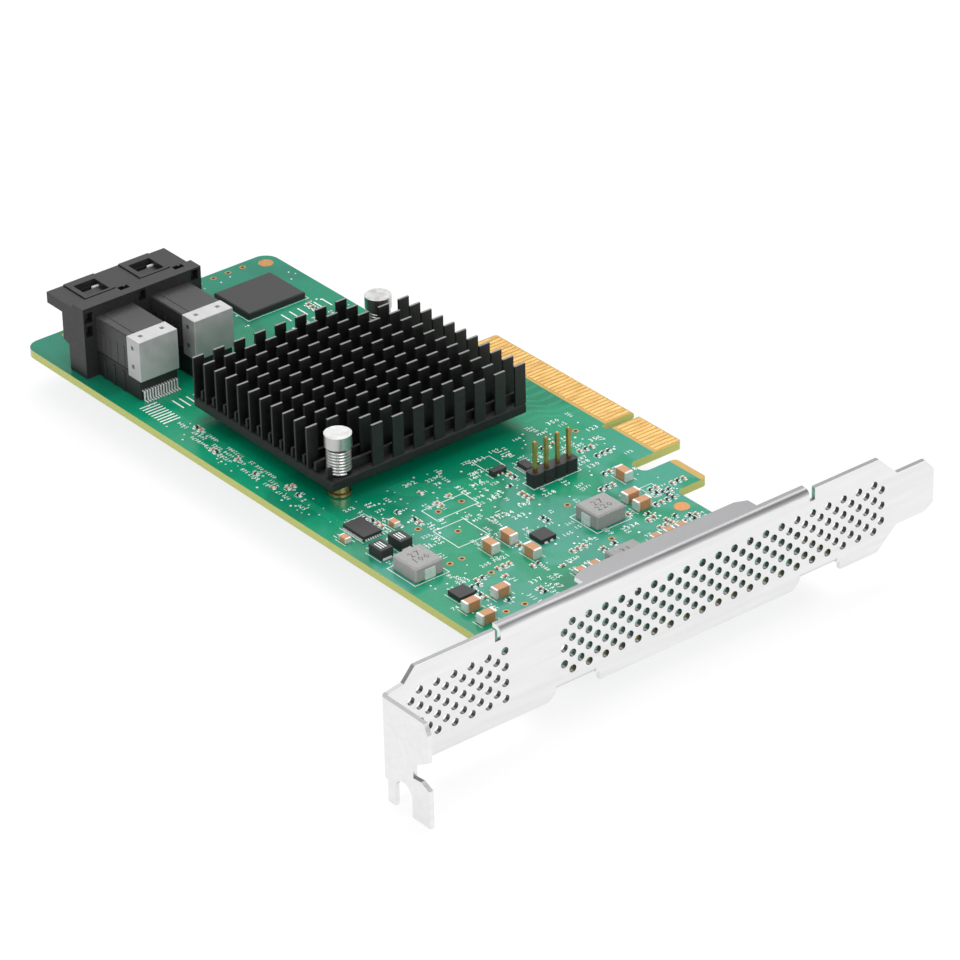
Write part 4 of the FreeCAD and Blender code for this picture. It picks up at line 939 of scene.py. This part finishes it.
LEADS = {"power_controller": (0.5, 0.32), "power_stages": (1.27, 0.7), "logic_chip": (0.5, 0.32),
         "transistor": (0.95, 0.45), "moulded_capacitors": (3.0, 2.4)}
lead_places, lead_turns, lead_sizes = [], [], []
for name, (pitch, breadth) in LEADS.items():
    for low, high in parts_of[name]:
        middle = (low + high) / 2
        middle.z = TOP
        half = (high - low) / 2
        long_axis = 0 if half.x > half.y else 1
        if name == "moulded_capacitors":
            axes = (long_axis,)
        elif name in ("power_stages", "transistor"):
            axes = (1 - long_axis,)
        else:
            axes = (0, 1)
        for axis in axes:
            outwards, along = Vector(), Vector()
            outwards[axis] = along[1 - axis] = 1.0
            run = half[1 - axis]
            for side in (-1, 1):
                centre = middle + outwards * side * half[axis]
                for place in lead_row(centre, along, run - 0.1 * MM, pitch * MM):
                    lead_places.append(place)
                    lead_turns.append(90 * axis)
                    lead_sizes.append((1.0, min(breadth, 2 * run / MM * 0.8), 1.0))
lead = bmesh.new()
small_block(lead, (-0.22, -0.5, 0.003), (0.32, 0.5, 0.10), 0.02)
small_block(lead, (-0.32, -0.45, 0.003), (0.03, 0.45, 0.30), 0.02)
strew("package_leads", lead, lead_places, silver, "tinned_copper", turns=lead_turns,
      sizes=lead_sizes)

# %% [markdown]
# ## Copper and solder
# Copper shows where the lacquer has a window: rings round plated holes, and two round lands.
# They are flat pieces just above the lacquer.

# %% Copper finishes
copper = grain("copper", (0.42, 0.19, 0.07), (0.55, 0.29, 0.12), 2500, (0.35, 0.5), 0.1, 1.0)
# Painted shade: a dark disc stands for the inside of each plated hole.
hole_shade = grain("hole_shade", (0.010, 0.014, 0.012), (0.03, 0.035, 0.03), 3000, (0.7, 0.9), 0.1)


def disc_unit(outer, inner=0.0, thickness=0.02, sides=16):
    """A flat ring or disc, in millimetres, lying on its own origin."""
    mesh = bmesh.new()
    profile = [(outer, 0), (outer, thickness)]
    if inner:
        profile += [(inner, thickness), (inner, 0)]
    lathe(mesh, (0, 0, 0), profile, sides, hollow=bool(inner))
    return mesh


# %% [markdown]
# The plated holes stand at chosen places and in one line along the port end of the board.  Each
# is a ring with a dark disc in it, painted shade that stands for the hole, and nothing else is put
# on top of them.

# %% Ringed holes
HOLE_PLACES = ((3.8, -48.5), (3.6, -43.2), (6.1, -54.8), (18.7, -57.8), (18.7, -55.2),
               (37.1, -56.4), (36.9, -60.3), (25.5, -54.3), (16.6, -30.1), (30.3, -31.6),
               (11.1, -50.0), (-2.4, -12.4), (45.2, -22.5))
ring_points = [on_board(x, y, 0.004) for x, y in HOLE_PLACES]
ring_points += [on_board(-91.8, -20.0 - 3.4 * k, 0.004) for k in range(13)]
RING, HOLE, DOT = 0.62, 0.36, 0.2
HOLE_DEPTH = 0.012
strew("copper_rings", disc_unit(RING, HOLE), ring_points, copper, "gold_plating")
strew("ring_holes", disc_unit(HOLE, thickness=HOLE_DEPTH), ring_points, hole_shade, "laminate")
spots = [on_board(-90.3, -15.6, 0.004), on_board(29.9, -15.4, 0.004)]
strew("copper_lands", disc_unit(1.45, sides=32), spots, copper, "gold_plating")
keep_free(ring_points, 0.8)
keep_free(spots, 1.8)

# %% [markdown]
# ## Small vias and solder dots
# Hundreds of small dots stand in the open board between the parts.  A seeded draw places them on
# a grid of 0.635 mm, as layout programs do, and leaves out the places that are taken.

# %% Solder dots
GRID = 0.635
draw = random.Random(7)


def on_grid(value_range):
    return round(draw.uniform(*value_range) / GRID) * GRID


def stands_apart(point, others, gap):
    """Is a point farther than a gap (millimetres) from all others?"""
    return all((point - other).length > gap * MM for other in others)


def draw_places(count, x_range, y_range, margin):
    """Free places on the grid, in metres at the height of the board."""
    found = []
    for _ in range(count * 12):
        x = on_grid(x_range)
        point = on_board(x, on_grid(y_range), 0.004)
        if is_free(point.x, point.y, margin) and stands_apart(point, found, 0.5):
            found.append(point)
        if len(found) == count:
            break
    return found


dots = draw_places(210, (-8, 50), (-66, -9), 0.3)
dots += draw_places(50, (-60, -9), (-67.5, -62.5), 0.3)
dots += draw_places(60, (-92, -53), (-40, -6), 0.5)
dot_sizes = [(r, r, 1) for r in (draw.choice((0.7, 0.9, 1.2)) for _ in dots)]
strew("solder_dots", disc_unit(DOT, sides=10), dots, tin, "tinned_copper", sizes=dot_sizes)

# %% [markdown]
# ## The underside
# Plated holes go right through, so their rings and dots show below as well.  The header's pins
# are soldered there: each joint is a small cone that was drawn up its pin.

# %% Underside joints
BELOW = board_low.z


def from_below(points, drop):
    """The same places under the board, a little below its surface, in millimetres."""
    return [Vector((point.x, point.y, BELOW - drop * MM)) for point in points]


strew("copper_rings_below", disc_unit(RING, HOLE), from_below(ring_points, 0.024), copper,
      "gold_plating")
strew("ring_holes_below", disc_unit(HOLE, thickness=HOLE_DEPTH), from_below(ring_points, 0.014),
      hole_shade, "laminate")
strew("solder_dots_below", disc_unit(DOT, sides=10), from_below(dots, 0.022), tin,
      "tinned_copper", sizes=dot_sizes)
HEADER_PINS, HEADER_PITCH = 4, 2.54
header = middle_of("header_block")
joints = bmesh.new()
for k in range(HEADER_PINS):
    place = (header.x, header.y + (k - (HEADER_PINS - 1) / 2) * HEADER_PITCH * MM, BELOW)
    lathe(joints, place, [(0.28, -1.15), (0.34, -0.9), (0.5, -0.45), (0.95, -0.01)], 16)
piece("solder_joints", joints, tin, "tinned_copper")

# %% [markdown]
# ## Small chip parts
# Resistors and capacitors of 1.0 by 0.5 mm stand in rows and pairs on two solder pads.  They are
# drawn in short rows, so that they look laid out and not strewn.

# %% Chip part places
def draw_rows(count, x_range, y_range, in_row, step):
    """Short rows of places with one turn each: (point, degrees)."""
    found = []
    tries = 0
    while len(found) < count and tries < count * 40:
        tries += 1
        x = on_grid(x_range)
        y = on_grid(y_range)
        degrees = draw.choice((0, 90))
        for k in range(draw.randint(1, in_row)):
            point = on_board(x + (k * step if degrees else 0), y + (0 if degrees else k * step), 0)
            inside = x_range[0] - 1 < point.x / MM < x_range[1] + 1
            if (inside and is_free(point.x, point.y, 0.7)
                    and stands_apart(point, [other for other, _ in found], 1.15)):
                found.append((point, degrees))
    return found


CHIP_STEP = 1.3
chip_places = []
for count, x_range, y_range, in_row in (
        (46, (22, 46), (-24, -9.5), 4), (44, (20, 47), (-64, -26), 3),
        (22, (-2, 20), (-34, -10), 3), (12, (-8, 18), (-66, -36), 3),
        (12, (-72, -53), (-34, -14), 4), (10, (-48, -14), (-66.5, -63), 3)):
    chip_places += draw_rows(count, x_range, y_range, in_row, CHIP_STEP)
chip_points = [point for point, _ in chip_places]
chip_turns = [degrees for _, degrees in chip_places]
keep_free(chip_points, 0.7)
print(len(chip_places), "small chip parts")

# %% [markdown]
# One body and one pair of ends are repeated on these places; a draw makes about half of the
# parts brown capacitors, and the others black resistors.

# %% Chip parts
body_unit = bmesh.new()
small_block(body_unit, (-0.32, -0.25, 0.03), (0.32, 0.25, 0.36), 0.04)
body_unit = finished(body_unit, "chip_body")
end_unit = bmesh.new()
for x0, x1, pad0, pad1 in ((-0.52, -0.28, -0.80, -0.26), (0.28, 0.52, 0.26, 0.80)):
    small_block(end_unit, (x0, -0.27, 0.02), (x1, 0.27, 0.38), 0.05)
    small_block(end_unit, (pad0, -0.30, 0.002), (pad1, 0.30, 0.05), 0.02)
strew("chip_part_ends", end_unit, chip_points, silver, "tinned_copper", turns=chip_turns)
kinds = [draw.random() < 0.55 for _ in chip_places]
for wanted, name, finish, slot in ((True, "chip_capacitors", fired_ceramic, "ceramic"),
                                   (False, "chip_resistors", epoxy, "black_epoxy")):
    chosen = [k for k, kind in enumerate(kinds) if kind == wanted]
    strew(name, body_unit, [chip_points[k] for k in chosen], finish, slot,
          turns=[chip_turns[k] for k in chosen])

# %% [markdown]
# ## Tracks
# Under the lacquer the tracks stand up a little, so they catch the light as paler lines.  They
# run in bundles, and turn by 45 degrees at most.

# %% Tracks
track_green = grain("track_green", (0.010, 0.29, 0.145), (0.018, 0.34, 0.175),
                    1500, (0.18, 0.28), 0.1)


def track(mesh, points, width=0.16):
    """A flat band along points in board millimetres."""
    places = [on_board(x, y, 0.006) for x, y in points]
    for start, end in zip(places, places[1:]):
        across = Vector((start.y - end.y, end.x - start.x, 0)).normalized() * width * MM / 2
        along = (end - start).normalized() * width * MM * 0.2
        corners = (start - along - across, end + along - across,
                   end + along + across, start - along + across)
        mesh.faces.new([mesh.verts.new(corner) for corner in corners])


def bundle(mesh, points, count, pitch, width=0.16):
    """Parallel tracks on the left of a line of points, mitred where it turns."""
    line = [Vector(point) for point in points]
    left = [Vector((-(b - a).y, (b - a).x)).normalized() for a, b in zip(line, line[1:])]
    sides = [left[0]] + left + [left[-1]]
    for k in range(count):
        moved = []
        for point, before, after in zip(line, sides, sides[1:]):
            mitre = (before + after).normalized()
            moved.append(point + mitre * (k * pitch / mitre.dot(after)))
        track(mesh, moved, width)


tracks = bmesh.new()
for points, count, pitch in (
        ([(-8.5, -50), (-5, -50), (2.2, -42.8), (2.2, -34)], 12, 0.4),
        ([(-56, -62.4), (-30, -62.4), (-28, -63.2), (10, -63.2)], 4, -0.42),
        ([(-60.6, -61), (-57.5, -61), (-54.5, -58), (-51, -58)], 12, 0.45),
        ([(-73.5, -33.2), (-70, -33.2), (-66, -37.2), (-51, -37.2)], 8, -0.45)):
    bundle(tracks, points, count, pitch)
for k in range(13):
    x = -8.0 - 2.4 * k
    bundle(tracks, [(x, -7.2), (x, -10.5), (x - 3, -13.5), (x - 3, -17.3)], 2, 0.45, 0.2)
for x, y, run in ((10, -40, 9), (26, -48, 12), (34, -20, 9), (14, -58, 8), (30, -64, 12),
                  (41, -50, 5)):
    bundle(tracks, [(x, y), (x, y + run * 0.4), (x + run * 0.4, y + run * 0.8)], 5, -0.45)
piece("tracks", tracks, track_green, "laminate", solid=False)

# %% [markdown]
# ## Printing
# The printing is white ink: outlines round the parts, bars, and short plain numbers that tell
# one part from the next.  All of it lies in one thin piece.  The figures are cut once as
# text and then copied.

# %% Ink
ink = grain("ink", (0.70, 0.74, 0.72), (0.84, 0.86, 0.85), 3000, (0.5, 0.7), 0.1)
printing = bmesh.new()
INK_LIFT = 0.012


def ink_bar(x0, y0, x1, y1):
    """A filled bar between two corners, in board millimetres."""
    printing.faces.new([printing.verts.new(on_board(x, y, INK_LIFT))
                        for x, y in ((x0, y0), (x1, y0), (x1, y1), (x0, y1))])


def ink_frame(x0, y0, x1, y1, width=0.15):
    """An outline."""
    ink_bar(x0, y0, x1, y0 + width)
    ink_bar(x0, y1 - width, x1, y1)
    ink_bar(x0, y0 + width, x0 + width, y1 - width)
    ink_bar(x1 - width, y0 + width, x1, y1 - width)


def figure(character):
    """The flat mesh of one figure, about 0.7 high before scaling."""
    curve = bpy.data.curves.new("figure_" + character, "FONT")
    curve.body = character
    curve.resolution_u = 1
    return plain_mesh(add_object("figure_" + character, curve))


figures = {character: figure(character) for character in "0123456789"}
FIGURE_HEIGHT, FIGURE_STEP = 0.7, 0.58


def write_number(mesh, text, place, height, degrees):
    """Plain figures, centred on a place in the frame."""
    turn = (Matrix.Translation(place) @ Matrix.Rotation(math.radians(degrees), 4, "Z")
            @ Matrix.Diagonal((height / FIGURE_HEIGHT * MM, height / FIGURE_HEIGHT * MM, 1, 1)))
    for k, character in enumerate(text):
        step = Matrix.Translation(((k - len(text) / 2) * FIGURE_STEP, -FIGURE_HEIGHT / 2, 0))
        glyph = figures[character]
        corners = [mesh.verts.new(turn @ step @ vertex.co) for vertex in glyph.vertices]
        for polygon in glyph.polygons:
            mesh.faces.new([corners[i] for i in polygon.vertices])


def ink_number(text, x, y, height, degrees=0):
    """Print a plain number on the board."""
    write_number(printing, text, on_board(x, y, INK_LIFT), height, degrees)


# %% [markdown]
# The larger parts have an outline and a number, the smaller ones a bar on either side.

# %% Printed outlines and numbers
def in_board(corner):
    return corner.x / MM, (corner.y - EDGE_Y) / MM


def frame_round(node_name, room, width=0.15):
    """An outline round a part; returns the part's near corner and middle height."""
    (x0, y0), (x1, y1) = (in_board(corner) for corner in corners_of(node_name))
    ink_frame(x0 - room, y0 - room, x1 + room, y1 + room, width)
    return x0, y0, (y0 + y1) / 2


for k, name in enumerate(INDUCTORS):
    x0, _, middle = frame_round(name, 0.7)
    ink_number(str(k + 1), x0 - 1.6, middle, 1.3, 90)
for name in SMALL_PARTS:
    for low, high in parts_of[name]:
        (x0, y0), (x1, y1) = in_board(low), in_board(high)
        ink_bar(x0 - 0.45, y0 - 0.45, x1 + 0.45, y0 - 0.33)
        ink_bar(x0 - 0.45, y1 + 0.33, x1 + 0.45, y1 + 0.45)
        ink_number(str(draw.randint(10, 99)), x0 - 1.2, (y0 + y1) / 2, 1.0, 90)
x0, y0, _ = frame_round("header_block", 0.35)
for k in range(HEADER_PINS):
    ink_number(str(k + 1), x0 - 1.1, y0 + (k + 0.5) * HEADER_PITCH, 1.1, 90)
frame_round("flash_chip", 0.5, 0.12)
ink_frame(1.6, -50.6, 6.0, -41.2)
ink_frame(8.4, -53.4, 15.6, -46.6)
print("outlines drawn")

# %% [markdown]
# Beside the outlines the print is dense: one short number for each small part, rows of small
# figures along the card's long edge, and comb marks at the ports.

# %% Dense printing
for point, degrees in chip_places:
    x, y = in_board(point)
    if draw.random() < 0.8:
        beside = (x, y + 0.95) if degrees == 0 else (x + 0.95, y)
        ink_number(str(draw.randint(1, 99)), *beside, 0.75, draw.choice((0, 90)))
    if draw.random() < 0.5:
        ink_bar(x - 0.5, y - 0.62, x + 0.5, y - 0.54)
for point in draw_places(150, (-8, 48), (-66, -9), 0.9):
    x, y = in_board(point)
    ink_number(str(draw.randint(1, 399)), x, y, draw.choice((0.8, 0.95, 1.15)),
               draw.choice((0, 90)))
for y, first, last in ((-62.9, -46, -17), (-64.2, -50, -22), (-65.5, -44, -10)):
    x = first
    while x < last:
        count = draw.randint(2, 5)
        ink_number("".join(draw.choice("0123456789") for _ in range(count)), x, y, 0.85, 180)
        x += count * 0.72 + draw.choice((0.6, 0.9, 2.4))
for k in range(9):
    x = -60.0 + 0.9 * k
    ink_bar(x, -66.6, x + 0.3, -62.8)
for k in range(7):
    ink_bar(-58.5 + 0.2 * k, -60.5 + 1.4 * k, -55.0 + 0.2 * k, -60.2 + 1.4 * k)
for k in range(6):
    y = -26.0 + 1.9 * k
    ink_bar(-71.8, y, -68.6, y + 0.3)
    ink_number(str(draw.randint(10, 99)), -66.6, y + 0.2, 0.9, 180)
for k in range(12):
    ink_number(str(k + 1), -57.0 + 3.7 * k, -13.2 if k % 2 else -15.0, 0.9, 180)
for corners in ((-5.6, -33.4, -1.0, -29.6), (20.4, -17.0, 24.6, -14.2),
                (-4.0, -62.6, 3.0, -58.6)):
    ink_frame(*corners, 0.12)
piece("printing", printing, ink, "laminate", solid=False)

# %% [markdown]
# Inductors carry their value as plain figures in dark ink, and the moulded capacitors have three
# pale bars across their tops.  These lie on the parts, so they are thin pieces of their own.

# %% Figures on the parts
dark_ink = grain("dark_ink", 0.06, 0.11, 3000, (0.6, 0.8), 0.1)
value_figures = bmesh.new()
half_line = Vector((0.9, 0, 0)) * MM
for name, upper_row, lower_row in zip(INDUCTORS, ("100", "220", "100"), ("27", "27", "31")):
    centre = middle_of(name)
    centre.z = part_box(name)[1][2] + 0.01 * MM
    write_number(value_figures, upper_row, centre + half_line, 1.5, 90)
    write_number(value_figures, lower_row, centre - half_line, 1.5, 90)
piece("inductor_figures", value_figures, dark_ink, "grey_ferrite", solid=False)
bands = bmesh.new()
for low, high in parts_of["moulded_capacitors"]:
    size = high - low
    for share in (0.22, 0.42, 0.62):
        y = low.y + size.y * share
        block(bands, (low.x + size.x * 0.2, y, high.z - 0.01 * MM),
              (low.x + size.x * 0.8, y + 0.22 * MM, high.z + 0.015 * MM), 0.004 * MM)
piece("capacitor_bands", bands, ink, "black_epoxy")
